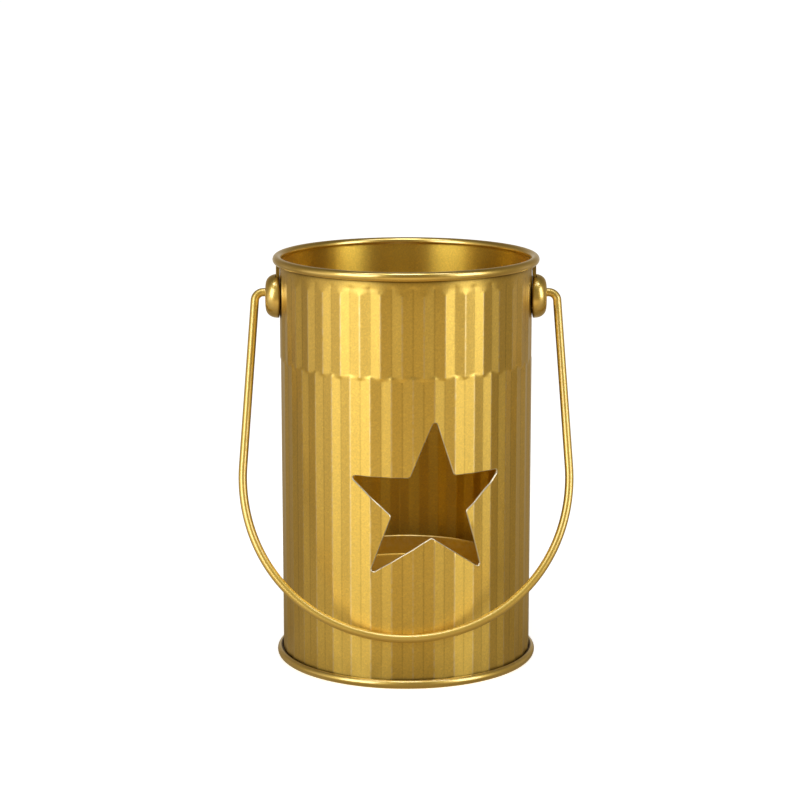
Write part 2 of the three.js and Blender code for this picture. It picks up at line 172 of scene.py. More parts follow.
def revolve(section: Array, columns: int) -> Array:
    """Grid of a section that is turned about Z in the given number of steps."""
    return around(section[:, :1], turns(columns)[None, :], section[:, 1:])


def polar(points: Array) -> tuple[Array, Array, Array]:
    """Azimuths, distances from Z and heights of points."""
    x, y, z = points.T
    return np.arctan2(x, -y), np.hypot(x, y), z


def link(name: str, data: bpy.types.ID) -> Piece:
    """Puts a mesh, lamp or camera into the scene.

    Args:
        name: Name of the new object.
        data: What it shows.

    Returns:
        The object, at the origin.
    """
    made = bpy.data.objects.new(name, data)
    bpy.context.scene.collection.objects.link(made)
    return made


def grid_mesh(name: str, grid: Array, ring: bool) -> bpy.types.Mesh:
    """Mesh of a grid that closes along its columns.

    Args:
        name: Name of the mesh.
        grid: Rows by columns by 3, in metres.
        ring: Whether the last row joins the first one.

    Returns:
        The mesh, one quad for each four neighbours.
    """
    rows, columns, _ = grid.shape
    row = np.arange(rows if ring else rows - 1)[:, None]
    column = np.arange(columns)[None, :]
    low, high = row * columns, (row + 1) % rows * columns
    right = (column + 1) % columns
    corners = np.broadcast_arrays(low + column, low + right, high + right, high + column)
    faces = np.stack(corners, -1).reshape(-1, 4)
    mesh = bpy.data.meshes.new(name)
    mesh.from_pydata(grid.reshape(-1, 3).tolist(), [], faces.tolist())
    return mesh


def surface(name: str, grid: Array, finishes: list[Material], ring: bool = False) -> Piece:
    """Puts a grid of points into a new closed mesh object.

    Args:
        name: Name of the object.
        grid: Rows by columns by 3, in millimetres. Columns close on themselves.
        finishes: Its materials.
        ring: Whether the rows close on themselves too. Otherwise both end rows are poles.

    Returns:
        The object, with the points of each pole joined and all faces turned outwards.
    """
    mesh = grid_mesh(name, grid * MILLIMETRE, ring)
    work = bmesh.new()
    work.from_mesh(mesh)
    bmesh.ops.remove_doubles(work, verts=work.verts, dist=WELD)
    bmesh.ops.dissolve_degenerate(work, edges=work.edges, dist=SLIVER)
    bmesh.ops.recalc_face_normals(work, faces=work.faces)
    if work.calc_volume(signed=True) < 0:
        bmesh.ops.reverse_faces(work, faces=work.faces)
    work.to_mesh(mesh)
    work.free()
    for finish in finishes:
        mesh.materials.append(finish)
    return link(name, mesh)


def carve(body: Piece, cutters: list[Piece]) -> None:
    """Cuts closed meshes out of a piece and removes them.

    Args:
        body: Piece to cut. Faces of a cut keep the cutter's material.
        cutters: Closed meshes.
    """
    for cutter in cutters:
        cut = body.modifiers.new("cut", "BOOLEAN")
        cut.operation = "DIFFERENCE"
        cut.solver = "EXACT"
        cut.material_mode = "TRANSFER"
        cut.object = cutter
    graph = bpy.context.evaluated_depsgraph_get()
    whole = body.data
    body.data = bpy.data.meshes.new_from_object(body.evaluated_get(graph))
    body.data.name = body.name
    body.modifiers.clear()
    bpy.data.meshes.remove(whole)
    for cutter in cutters:
        bpy.data.objects.remove(cutter)


def points_of(piece: Piece) -> Array:
    """Points of a piece in millimetres.

    Args:
        piece: The piece.

    Returns:
        One row of three numbers for each point.
    """
    flat = np.empty(3 * len(piece.data.vertices), np.float32)
    piece.data.vertices.foreach_get("co", flat)
    return flat.reshape(-1, 3).astype(float) / MILLIMETRE


def mark(piece: Piece, **masks: Array) -> None:
    """Stores for each point of a piece how far it lies on a crest or in a seam.

    Args:
        piece: The piece.
        masks: Numbers from 0 to 1 for its points, by the name of the mask.
    """
    for name, mask in masks.items():
        layer = piece.data.attributes.new(name, "FLOAT", "POINT")
        layer.data.foreach_set("value", mask.astype(np.float32))


def settle(piece: Piece, sharp: float, node: str, carrier: Carrier) -> None:
    """Shades a finished piece and puts it into the frame.

    Args:
        piece: The piece.
        sharp: Angle in degrees over which an edge stays hard.
        node: CAD node that it stands for.
        carrier: Body that it moves with.
    """
    piece.data.shade_smooth()
    piece.data.set_sharp_from_angle(angle=math.radians(sharp))
    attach(piece, carrier.value)
    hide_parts(node)
    LOG.info("%s stands for %s, %d faces", piece.name, node, len(piece.data.polygons))


class NodeSheet:
    """Short way to place and join nodes in one tree."""

    GROUP_ENDS = ("NodeGroupInput", "NodeGroupOutput")

    def __init__(self, tree: bpy.types.NodeTree) -> None:
        """Keeps the tree."""
        self.tree = tree

    def join(self, node: bpy.types.Node, inputs: dict) -> bpy.types.Node:
        """Fills inputs of a node.

        Args:
            node: The node.
            inputs: For a socket's name or number, a value, or an output socket to join to it.

        Returns:
            The same node.
        """
        for key, value in inputs.items():
            if isinstance(value, Socket):
                self.tree.links.new(value, node.inputs[key])
            else:
                node.inputs[key].default_value = value
        return node

    def add(self, kind: str, inputs: dict | None = None, **settings: object) -> bpy.types.Node:
        """Adds a node.

        Args:
            kind: Node type without its Shader prefix, such as NodeTexNoise.
            inputs: What its inputs get.
            settings: Properties of the node.

        Returns:
            The new node.
        """
        prefix = "" if kind in self.GROUP_ENDS else "Shader"
        node = self.tree.nodes.new(prefix + kind)
        for key, value in settings.items():
            setattr(node, key, value)
        return self.join(node, inputs or {})

    def group(self, tree: bpy.types.NodeTree, **inputs: object) -> bpy.types.bpy_prop_collection:
        """Places a node group with the given inputs and gives its outputs."""
        return self.add("NodeGroup", inputs, node_tree=tree).outputs

    def value(self, kind: str, *inputs: object, **settings: object) -> Socket:
        """Adds a node, fills its inputs in order and gives its first output."""
        return self.add(kind, dict(enumerate(inputs)), **settings).outputs[0]

    def math(self, operation: str, *values: object) -> Socket:
        """Adds a Math node on up to three values or sockets and gives its output."""
        return self.value("NodeMath", *values, operation=operation)

    def ramp(self, value: Socket, span: Point, ends: Point, curve: str = "LINEAR") -> Socket:
        """Adds a Map Range node from a span to two end values and gives its output."""
        return self.value("NodeMapRange", value, *span, *ends, interpolation_type=curve)

    def noise(self, vector: Socket, scale: object, detail: float) -> Socket:
        """Adds a Noise texture and gives its value."""
        inputs = {"Vector": vector, "Scale": scale, "Detail": detail}
        return self.add("NodeTexNoise", inputs).outputs[0]

    def scale(self, colour: Colour, factor: Socket) -> Socket:
        """Adds a node that scales a colour and gives its output."""
        return self.add("NodeVectorMath", {0: colour, 3: factor}, operation="SCALE").outputs[0]

    def length(self, vector: Socket) -> Socket:
        """Adds a node that measures a vector and gives its output."""
        return self.add("NodeVectorMath", {0: vector}, operation="LENGTH").outputs["Value"]

    def mix(self, share: Socket, first: Socket, second: Colour) -> Socket:
        """Adds a Mix node from a socket to a plain colour and gives its output."""
        inputs = {0: share, 6: first, 7: (*second, 1.0)}
        return self.add("NodeMix", inputs, data_type="RGBA").outputs[2]


def blank_sheet(owner: bpy.types.ID) -> NodeSheet:
    """Empties the node tree of a material or of the world.

    Args:
        owner: What the tree belongs to.

    Returns:
        The tree's node sheet.
    """
    owner.use_nodes = True
    owner.node_tree.nodes.clear()
    return NodeSheet(owner.node_tree)


def new_group(name: str, inputs: list[str], outputs: list[str]) -> tuple:
    """Starts a shader node group that reads a vector.

    Args:
        name: Name of the group.
        inputs: Names of the number inputs that follow the input Vector.
        outputs: Names of the number outputs.

    Returns:
        The tree's node sheet, its output node and the sockets of its inputs.
    """
    tree = bpy.data.node_groups.new(name, "ShaderNodeTree")
    sockets = [("Vector", "INPUT", "Vector")]
    sockets += [(label, "INPUT", "Float") for label in inputs]
    sockets += [(label, "OUTPUT", "Float") for label in outputs]
    for label, way, kind in sockets:
        tree.interface.new_socket(name=label, in_out=way, socket_type="NodeSocket" + kind)
    sheet = NodeSheet(tree)
    given = sheet.add("NodeGroupInput").outputs
    return sheet, sheet.add("NodeGroupOutput"), *given[:len(inputs) + 1]


@dataclass
class Effects:
    """Shader node groups that the finishes share, each built once."""

    fleck_detail: float = 3.0
    spark_power: float = 6.0
    spark_share: float = 0.6
    cloud_detail: float = 4.0
    cloud_stretch: Triple = (1.0, 1.0, 0.35)
    wear_and_highlight_scale: float = 420.0
    wear_and_highlight_detail: float = 4.0
    wear_and_highlight_gain: float = 2.4
    wear_and_highlight_cut: float = -0.6

    def __post_init__(self) -> None:
        """Builds the groups."""
        self.grain = self.build_grain()
        self.cloud = self.build_cloud()
        self.wear_and_highlight = self.build_wear_and_highlight()

    def build_grain(self) -> bpy.types.NodeTree:
        """Fine flecks of metallic paint.

        Returns:
            Group whose Tone is 1 plus Fleck times a noise about zero with brighter single
            flecks, and whose Height is the same noise.
        """
        names = ["Scale", "Fleck"], ["Tone", "Height"]
        sheet, out, vector, scale, fleck = new_group("paint_grain", *names)
        noise = sheet.noise(vector, scale, self.fleck_detail)
        cells = sheet.add("NodeTexVoronoi", {"Vector": vector, "Scale": scale})
        single = sheet.value("NodeSeparateColor", cells.outputs["Color"])
        spark = sheet.math("POWER", single, self.spark_power)
        soft = sheet.math("MULTIPLY_ADD", noise, 2.0, -1.0)
        mixed = sheet.math("MULTIPLY_ADD", spark, self.spark_share, soft)
        tone = sheet.math("MULTIPLY_ADD", mixed, fleck, 1.0)
        sheet.join(out, {"Tone": tone, "Height": noise})
        return sheet.tree

    def build_cloud(self) -> bpy.types.NodeTree:
        """Slow changes of tone and gloss across a sprayed sheet.

        Returns:
            Group whose Tone is 1 plus Amount times a broad noise about zero, stretched along
            the height, and whose Gloss is the noise itself.
        """
        names = ["Scale", "Amount"], ["Tone", "Gloss"]
        sheet, out, vector, scale, amount = new_group("spray_cloud", *names)
        drawn = sheet.add("NodeMapping", {"Vector": vector, "Scale": self.cloud_stretch})
        noise = sheet.noise(drawn.outputs[0], scale, self.cloud_detail)
        soft = sheet.math("MULTIPLY_ADD", noise, 2.0, -1.0)
        tone = sheet.math("MULTIPLY_ADD", soft, amount, 1.0)
        sheet.join(out, {"Tone": tone, "Gloss": noise})
        return sheet.tree

    def build_wear_and_highlight(self) -> bpy.types.NodeTree:
        """Rubbed paint and painted highlight along crests and edges.

        Returns:
            Group whose Mask is the crest mask times Amount, broken up by a noise.
        """
        sheet, out, vector, crest, amount = new_group("edge_wear_and_highlight", ["Crest", "Amount"], ["Mask"])
        noise = sheet.noise(vector, self.wear_and_highlight_scale, self.wear_and_highlight_detail)
        broken = sheet.math("MULTIPLY_ADD", noise, self.wear_and_highlight_gain, self.wear_and_highlight_cut)
        mask = sheet.math("MULTIPLY", sheet.math("MULTIPLY", crest, broken), amount)
        sheet.join(out, {"Mask": sheet.value("NodeClamp", mask)})
        return sheet.tree


GOLD: Colour = (0.91, 0.66, 0.14)
# Pale gold of rubbed paint, also used as painted highlight on ridges, bead tops and the dish rim.
GOLD_WORN_AND_HIGHLIT: Colour = (1.0, 0.85, 0.48)
# A darker, redder copy of the gold for the inner faces: painted shade for the inside.
SHADED_LINING_GOLD: Colour = (0.85, 0.59, 0.09)
DULL: Colour = (0.8, 0.58, 0.2)
STEEL: Colour = (0.56, 0.55, 0.53)
BARE: Colour = (0.98, 0.92, 0.72)
# Dark brown used as painted shade in crevices, under the rim curl, in valleys, on the ear plates
# and dome edges, and on the wire's body side.
PAINTED_SHADE_BROWN: Colour = (0.05, 0.018, 0.001)


@dataclass(frozen=True)
class MetalFinish:
    """A sprayed or bare metal with grain, slow clouds, crests of rubbed paint and painted
    highlight, and painted shade.
    """

    name: str
    roughness: float
    base: Colour = GOLD
    worn_and_highlit: Colour = GOLD_WORN_AND_HIGHLIT
    fleck: float = 0.2
    grain_scale: float = 1500.0
    cloud: float = 0.05
    cloud_scale: float = 55.0
    cloud_gloss: float = 0.1
    wear_and_highlight: float = 0.9
    wear_and_highlight_gloss: float = -0.06
    bump: float = 0.12
    bump_depth: float = 0.00004
    coat: float = 1.0
    coat_roughness: float = 0.32
    coat_ior: float = 1.5
    # How strongly the painted shade darkens the colour.
    painted_shade_strength: float = 0.94
    drawn: float = 0.0
    drawn_turn: float = 0.25

    def material(self, effects: Effects) -> Material:
        """Builds the material.

        Args:
            effects: Shared node groups.

        Returns:
            Material whose colour is the base times grain and cloud tones, mixed to a pale colour by
            the crest mask, which stands for rubbed paint and painted highlight, and to dark brown
            by the painted shade mask, whose roughness follows cloud and the crest mask, whose coat
            ends in the painted shade and whose bump is the grain. Its gloss is spread up and down
            the wall where the sheet was drawn round the axis.
        """
        made = bpy.data.materials.new(self.name)
        sheet = blank_sheet(made)
        place = sheet.add("NodeTexCoord").outputs["Object"]
        # crest marks rubbed paint and painted highlight; the second attribute is a painted shade
        # mask.
        crest, seam = (
            sheet.add("NodeAttribute", attribute_name=mask).outputs["Fac"]
            for mask in ("crest", "seam")
        )
        grain = sheet.group(effects.grain, Vector=place, Scale=self.grain_scale, Fleck=self.fleck)
        cloud = sheet.group(effects.cloud, Vector=place, Scale=self.cloud_scale, Amount=self.cloud)
        wear_and_highlight = sheet.group(effects.wear_and_highlight, Vector=place, Crest=crest, Amount=self.wear_and_highlight)["Mask"]
        tone = sheet.math("MULTIPLY", grain["Tone"], cloud["Tone"])
        rubbed_and_highlit = sheet.mix(wear_and_highlight, sheet.scale(self.base, tone), self.worn_and_highlit)
        # Painted shade: darkens the colour to brown and removes the coat where the painted shade
        # mask is set.
        painted_dark = sheet.math("MULTIPLY", seam, self.painted_shade_strength)
        unshaded = sheet.math("SUBTRACT", 1.0, painted_dark)
        glossiest = self.roughness - self.cloud_gloss / 2
        clouded = sheet.math("MULTIPLY_ADD", cloud["Gloss"], self.cloud_gloss, glossiest)
        relief = {"Strength": self.bump, "Distance": self.bump_depth, "Height": grain["Height"]}
        round_axis = sheet.value("NodeVectorMath", UP, place, operation="CROSS_PRODUCT")
        drawn_way = sheet.value(
            "NodeVectorTransform", round_axis,
            vector_type="VECTOR", convert_from="OBJECT", convert_to="WORLD",
        )
        shader = sheet.add("NodeBsdfPrincipled", {
            "Base Color": sheet.mix(painted_dark, rubbed_and_highlit, PAINTED_SHADE_BROWN),
            "Roughness": sheet.math("MULTIPLY_ADD", wear_and_highlight, self.wear_and_highlight_gloss, clouded),
            "Normal": sheet.add("NodeBump", relief).outputs[0],
            "Metallic": 1.0,
            "Coat Weight": sheet.math("MULTIPLY", unshaded, self.coat),
            "Coat Roughness": self.coat_roughness,
            "Coat IOR": self.coat_ior,
            "Anisotropic": self.drawn,
            "Anisotropic Rotation": self.drawn_turn,
            "Tangent": drawn_way,
        })
        sheet.add("NodeOutputMaterial", {"Surface": shader.outputs[0]})
        return made


LACQUER: dict[str, float] = {"fleck": 0.08, "bump": 0.0, "coat_roughness": 0.16, "coat_ior": 2.2}
FINISHES: dict[str, MetalFinish] = {
    "sheet": MetalFinish("gold_sheet_paint", 0.42, drawn=0.65),
    # Inner faces: the same gold paint darkened, as painted shade.
    "lining": MetalFinish("gold_lining_shaded_paint", 0.41, SHADED_LINING_GOLD, coat=0.5, drawn=0.88),
    "bead": MetalFinish("gold_bead_paint", 0.3, **LACQUER),
    "edge": MetalFinish(
        "bare_cut_edge", 0.38, BARE, BARE, fleck=0.05, cloud=0.02, bump=0.0, coat=0.0
    ),
    "base": MetalFinish("gold_base_paint", 0.37, **LACQUER),
    "ear": MetalFinish("gold_ear_paint", 0.35, **LACQUER),
    "bail": MetalFinish(
        "gold_wire_paint", 0.45, fleck=0.03, bump=0.0, coat_roughness=0.2, coat_ior=2.0
    ),
    "dish": MetalFinish("gold_dish_paint", 0.45, fleck=0.1, bump=0.02, drawn=0.4),
    "wire": MetalFinish("steel_core_wire", 0.35, STEEL, STEEL, coat=0.0),
    "rivet": MetalFinish("gold_rivet_paint", 0.32, DULL),
}


@dataclass
class FlutedBody:
    """Rolled sheet body: flutes in two bands, collar, rim curl, foot hem and star window."""

    paints: Paints
    ridge_radius: float = 50.0
    sheet: float = 0.5
    flutes: int = 38
    depth: float = 0.36
    low_share: float = 0.6
    deep_height: float = 95.0
    ridge_azimuth: float = math.radians(3.1)
    crease: float = 0.985
    facet_steps: tuple[float, ...] = (0.0, 0.06, 0.14, 0.3, 0.7, 0.86, 0.94)
    outer_rows: tuple[int, ...] = (6, 14, 23, 5, 21, 12)
    inner_rows: tuple[int, ...] = (10, 16, 13, 12)
    uneven: float = 0.09
    uneven_seed: int = 5
    band_level: float = 121.8
    band_step: float = 1.7
    band_arch: float = 0.55
    fade_start: float = 154.5
    fade_height: float = 1.9
    fade_arch: float = 1.4
    foot_start: float = 2.9
    foot_height: float = 0.7
    inner_fade_start: float = 86.0
    inner_fade_height: float = 16.0
    inner_gain: float = 1.5
    thin_start: float = 153.5
    thin_height: float = 6.5
    least_sheet: float = 0.08
    collar_radius: float = 49.7
    seam_azimuth: float = math.radians(180.74)
    seam_width: float = math.radians(4.74)
    seam_ramp: float = math.radians(1.4)
    seam_radius: float = 50.35
    rim_centre: Point = (50.95, 161.13)
    rim_radius: float = 1.74
    rim_start: float = 208.5
    rim_end: float = -115.0
    rim_sheet: float = 0.28
    rim_slack: float = 0.02
    hem_centre: Point = (50.3, 1.83)
    hem_radius: float = 1.0
    hem_start: float = -141.0
    hem_end: float = 107.0
    star_radius: float = 33.8
    star_height: float = 72.9
    star_azimuth: float = math.radians(10.97)
    star_point_trim: float = 3.1
    star_notch_trim: float = 0.9
    star_corners: tuple[Point, ...] = (
        (1.01, 87.1), (0.43, 49.6), (1.0, 19.3), (0.445, -13.5), (1.045, -51.6),
        (0.387, -88.3), (1.097, -130.7), (0.469, -164.0), (1.015, 161.3), (0.396, 127.4),
    )
    star_bend_points: int = 11
    star_edge_points: int = 44
    star_round: float = 0.55
    star_round_end: float = 54.0
    star_tight: float = 0.2
    cut_inside: float = 42.0
    cut_outside: float = 60.0
    # Crests: rubbed paint that also carries painted highlight along the ridges.
    crest_start: float = 0.87
    crest_run: float = 0.13
    # Painted shade: dark foot above the hem, a dark band under the rim curl and thin dark lines in
    # the valleys.
    foot_shade_top: float = 3.8
    rim_shade_top: float = 158.93
    rim_shade: float = 0.75
    rim_shade_run: float = 0.5
    collar_shade: float = 0.13
    collar_shade_run: float = 5.0
    valley_shade: float = 0.26
    valley_start: float = 0.9
    valley_run: float = 0.1
    sharp: float = 32.0

    def columns(self) -> Array:
        """Azimuths of the columns.

        Returns:
            One row, with the same steps in each facet, closer together beside its two creases.
        """
        facets = np.arange(2 * self.flutes)[:, None] + np.array(self.facet_steps)[None, :]
        return self.ridge_azimuth + facets.reshape(1, -1) * math.pi / self.flutes

    def heights(self, inner: bool) -> Array:
        """Heights of the wall's rows, close together where the flutes change.

        Args:
            inner: Whether the inner face is meant.

        Returns:
            One column, up the outer face from the foot or down the inner face from the rim.
        """
        band = self.band_step / 2 + self.band_arch
        low, high = self.band_level - band, self.band_level + band
        if inner:
            top = self.rim_centre[1] - self.rim_radius / 2
            stops = [top, self.fade_start, high, low, self.foot_start]
            return spaced(stops, self.inner_rows)[1:, None]
        foot_end = self.foot_start + self.foot_height
        fade_end = self.fade_start + self.fade_height + self.fade_arch
        fade = [self.fade_start - self.fade_arch, fade_end]
        stops = [self.foot_start, foot_end, low, high, *fade, self.rim_centre[1]]
        return spaced(stops, self.outer_rows)[:-1, None]

    def phase(self, azimuth: Array) -> Array:
        """Angle of the flutes' wave, 0 on a ridge of the lower band."""
        return self.flutes * (azimuth - self.ridge_azimuth)

    def wave(self, azimuth: Array) -> Array:
        """Rounded triangle wave of the lower flutes: asin(k cos(n a)) / asin(k), 1 on a ridge."""
        return np.arcsin(self.crease * np.cos(self.phase(azimuth))) / math.asin(self.crease)

    def strength(self, azimuth: Array, height: Array, inner: bool) -> Array:
        """How far the flutes are pressed in, from 0 to 1.

        Args:
            azimuth: Azimuths.
            height: Heights above the ground.
            inner: Whether the inner face is meant, which runs out to a smooth wall above.

        Returns:
            A fade above the foot times one below the collar, lowest on the upper ridges.
        """
        foot = smooth_step(height, self.foot_start, self.foot_height)
        arched = height - self.fade_arch * np.cos(self.phase(azimuth))
        share = foot * (1 - smooth_step(arched, self.fade_start, self.fade_height))
        smooth = smooth_step(height, self.inner_fade_start, self.inner_fade_height)
        return share * (1 - smooth * inner)

    def relief(self, azimuth: Array, height: Array) -> Array:
        """The wave from -1 in a valley to 1 on a ridge, swapped along arches at the band level."""
        level = self.band_level + self.band_arch * np.cos(self.phase(azimuth))
        return self.wave(azimuth) * (1 - 2 * smooth_step((height - level) / self.band_step + 0.5))

    def wall(self, azimuth: Array, height: Array, inner: bool) -> Array:
        """Distance of the wall from the axis.

        Args:
            azimuth: Azimuths.
            height: Heights above the ground.
            inner: Whether the inner face is meant.

        Returns:
            The middle radius, plus half the flute depth times the relief, shallower towards the
            foot, less the bow that makes each facet flat and a small uneven depth of each
            crease, and raised to the folded seam at the back. The inner face lies a sheet's
            thickness further in, with deeper flutes, runs out to the thin rim, and never
            meets the outer one.
        """
        middle = self.ridge_radius - self.depth / 2
        rise = smooth_step(height, self.fade_start, self.fade_height)
        neutral = middle + (self.collar_radius - middle) * rise * (not inner)
        crease = np.arange(2 * self.flutes)
        dents = np.abs(np.random.default_rng(self.uneven_seed).normal(0, self.uneven, crease.size))
        dent = np.interp(self.phase(azimuth) / math.pi, crease, dents, period=crease.size)
        smooth = smooth_step(height, self.inner_fade_start, self.inner_fade_height) * inner
        neutral = neutral - dent * (1 - np.maximum(rise, smooth))
        pressed = self.strength(azimuth, height, inner)
        deep = self.low_share + (1 - self.low_share) * smooth_step(height, 0.0, self.deep_height)
        bow = self.ridge_radius * (1 - math.cos(math.pi / self.flutes / 2))
        bowed = bow * (1 - self.wave(azimuth) ** 2)
        swing = self.depth / 2 * deep * (self.inner_gain if inner else 1.0)
        radius = neutral + pressed * (swing * self.relief(azimuth, height) - bowed)
        if inner:
            thin = smooth_step(height, self.thin_start, self.thin_height)
            run_in = self.collar_radius - self.rim_sheet - (middle - self.sheet)
            limit = self.wall(azimuth, height, False) - self.least_sheet
            return np.minimum(radius - self.sheet + run_in * thin, limit)
        beside = np.abs((azimuth - self.seam_azimuth + math.pi) % TURN - math.pi)
        fold = 1 - smooth_step(beside, self.seam_width / 2, self.seam_ramp)
        fold = fold * (1 - rise) * smooth_step(height, self.foot_start, self.foot_height)
        return radius + fold * np.maximum(self.seam_radius - radius, 0)

    def shell(self) -> Array:
        """Closed grid of the sheet.

        Returns:
            Rows that run up the outer wall, round the inside of the rim curl, back round its
            outside, down the inner wall and round the foot hem, by columns round the axis.
        """
        azimuth, outer, inner = self.columns(), self.heights(False), self.heights(True)
        centre, half = self.rim_centre, self.sheet / 2
        tip = arc(centre, self.rim_radius - half, self.rim_end, self.rim_end, 1)[0]
        curl = np.concatenate([
            arc(centre, self.rim_radius - self.sheet, 180, self.rim_end, 20),
            arc(tip, half, self.rim_end + 180, self.rim_end, 5)[1:-1],
            arc(centre, self.rim_radius, self.rim_end, self.rim_start, 36),
        ])
        hem = arc(self.hem_centre, self.hem_radius, self.hem_start, self.hem_end, 12)
        flat = np.ones_like(azimuth)
        radius = np.concatenate([
            self.wall(azimuth, outer, False), curl[:, :1] * flat,
            self.wall(azimuth, inner, True), hem[:, :1] * flat,
        ])
        height = np.concatenate([outer, curl[:, 1:], inner, hem[:, 1:]])
        return around(radius, azimuth, height)

    def star_outline(self) -> Array:
        """Outline of the star on the unrolled sheet.

        Returns:
            Points round the corners, each corner rounded by a circular arc between the two
            points where its trimmed edges end, written as a rational quadratic curve whose
            weight is the sine of half the corner's angle, with points along the edges.
        """
        share, degrees = np.array(self.star_corners).T
        reach, angle = share * self.star_radius, np.radians(degrees)
        corner = np.stack([reach * np.cos(angle), reach * np.sin(angle)], -1)
        is_point = (np.arange(len(corner)) % 2 == 0)[:, None]
        trim = np.where(is_point, self.star_point_trim, self.star_notch_trim)
        back, ahead = (unit(np.roll(corner, step, 0) - corner) for step in (1, -1))
        start, end = corner + trim * back, corner + trim * ahead
        t = np.linspace(0, 1, self.star_bend_points)[None, :, None]
        pull = np.sqrt((1 - (back * ahead).sum(1)) / 2)[:, None, None] * 2 * t * (1 - t)
        bend = (1 - t) ** 2 * start[:, None] + pull * corner[:, None] + t**2 * end[:, None]
        bend = bend / ((1 - t) ** 2 + pull + t**2)
        edge = between(end, np.roll(start, -1, 0), self.star_edge_points).swapaxes(0, 1)
        return np.concatenate([bend, edge], 1).reshape(-1, 2)

    def star_cutter(self) -> Piece:
        """Prism of the star with a bare metal finish, flared where it leaves the sheet.

        Returns:
            Closed mesh: the outline rolled onto a small cylinder and carried out to just under
            the wall's outer face, then widened along part of a quarter circle, so that the cut
            edge is rounded, then straight on over the face and out to a large cylinder. Each
            end is closed by a pole in the middle of the star.
        """
        outline = self.star_outline()
        along = np.roll(outline, -1, 0) - np.roll(outline, 1, 0)
        out = unit(np.stack([-along[:, 1], along[:, 0]], -1))
        sheet_radius = self.ridge_radius - (self.depth + self.sheet) / 2

        def place(points: Array, lift: float | None, radius: float = 0.0) -> Array:
            """Rolls points onto a cylinder, or onto the wall's outer face lifted a little.

            Args:
                points: Points on the unrolled sheet.
                lift: Distance from the outer face, or None for the cylinder.
                radius: Radius of the cylinder.

            Returns:
                One row of points.
            """
            azimuth = self.star_azimuth + points[:, 0] / sheet_radius
            height = self.star_height + points[:, 1]
            far = radius if lift is None else self.wall(azimuth, height, False) + lift
            return around(far, azimuth, height)

        turn = np.radians(np.linspace(0, self.star_round_end, 5))
        wide = self.star_round * (1 - np.cos(turn)) - self.star_tight
        lift = self.star_round * (np.sin(turn) - 1)
        over = (self.star_round - lift[-1]) * math.tan(turn[-1])
        middle, last = np.zeros_like(outline), outline + (wide[-1] + over) * out
        rows = [
            place(middle, None, self.cut_inside),
            place(outline + wide[0] * out, None, self.cut_inside),
            *(place(outline + w * out, up) for w, up in zip(wide, lift)),
            place(last, self.star_round),
            place(last, None, self.cut_outside),
            place(middle, None, self.cut_outside),
        ]
        return surface("star_cutter", np.stack(rows), [self.paints["edge"]])

    def on_outer_face(self, points: Array) -> Array:
        """Tells which points lie on the wall's outer face.

        Args:
            points: Points in millimetres.

        Returns:
            True within half the sheet's thickness of the outer face, below the rim.
        """
        azimuth, away, height = polar(points)
        outer, inner = (self.wall(azimuth, height, side) for side in (False, True))
        below = height < self.rim_centre[1] - self.rim_radius / 2
        return (np.abs(away - outer) < (outer - inner) / 2) & below

    def outer_relief(self, points: Array) -> Array:
        """Relief of the outer face.

        Args:
            points: Points in millimetres.

        Returns:
            Relief times strength at points of the wall's outer face, and 0 at all others.
        """
        azimuth, _, height = polar(points)
        relief = self.relief(azimuth, height) * self.strength(azimuth, height, False)
        return relief * self.on_outer_face(points)

    def crests(self, points: Array) -> Array:
        """Mask of rubbed paint and painted highlight on the ridges: 1 where the relief is near its
        top on the outer face.
        """
        return np.clip((self.outer_relief(points) - self.crest_start) / self.crest_run, 0, 1)

    def painted_shade_mask(self, points: Array) -> Array:
        """Mask of painted shade.

        Args:
            points: Points in millimetres.

        Returns:
            1 at the foot, falling to 0 at the shade's top, on the outer face of the collar an
            exponential plus a slow fall below the rim, and a thin line in each valley.
        """
        # Painted shade in the crevice above the hem, under the rim curl and in each valley.
        height, hem_top = points[:, 2], self.hem_centre[1] + self.hem_radius
        foot = 1 - smooth_step(height, hem_top, self.foot_shade_top - hem_top)
        below = np.clip(self.rim_shade_top - height, 0, None)
        collar = self.rim_shade * np.exp(-below / self.rim_shade_run)
        collar = collar + self.collar_shade * (1 - smooth_step(below, 0.0, self.collar_shade_run))
        sunk = (-self.outer_relief(points) - self.valley_start) / self.valley_run
        valley = self.valley_shade * np.clip(sunk, 0, 1)
        return np.maximum(foot, np.maximum(collar, valley) * self.on_outer_face(points))

    def line(self, piece: Piece) -> None:
        """Gives the faces that look inwards the second finish, a darker gold that paints shade on
        the inside, and those of the rim the third.

        Args:
            piece: The sheet.
        """
        faces = piece.data.polygons
        flat = np.empty((2, 3 * len(faces)), np.float32)
        faces.foreach_get("center", flat[0])
        faces.foreach_get("normal", flat[1])
        centre, looks = flat.reshape(2, -1, 3).astype(float)
        inner = (centre[:, :2] * looks[:, :2]).sum(1) < 0
        _, away, height = polar(centre / MILLIMETRE)
        off = np.hypot(away - self.rim_centre[0], height - self.rim_centre[1])
        choice = np.where(off < self.rim_radius + self.rim_slack, 2, inner.astype(int))
        faces.foreach_set("material_index", choice.astype(np.int32))

    def build(self) -> None:
        """Makes the sheet, cuts the star and dresses it."""
        finishes = [self.paints[name] for name in ("sheet", "lining", "bead")]
        piece = surface("body_sheet", self.shell(), finishes, ring=True)
        self.line(piece)
        carve(piece, [self.star_cutter()])
        points = points_of(piece)
        # Pale ridges of rubbed paint and painted highlight, and painted shade at foot, collar and
        # valleys.
        mark(piece, crest=self.crests(points), seam=self.painted_shade_mask(points))
        settle(piece, self.sharp, "body_shell", Carrier.LANTERN)


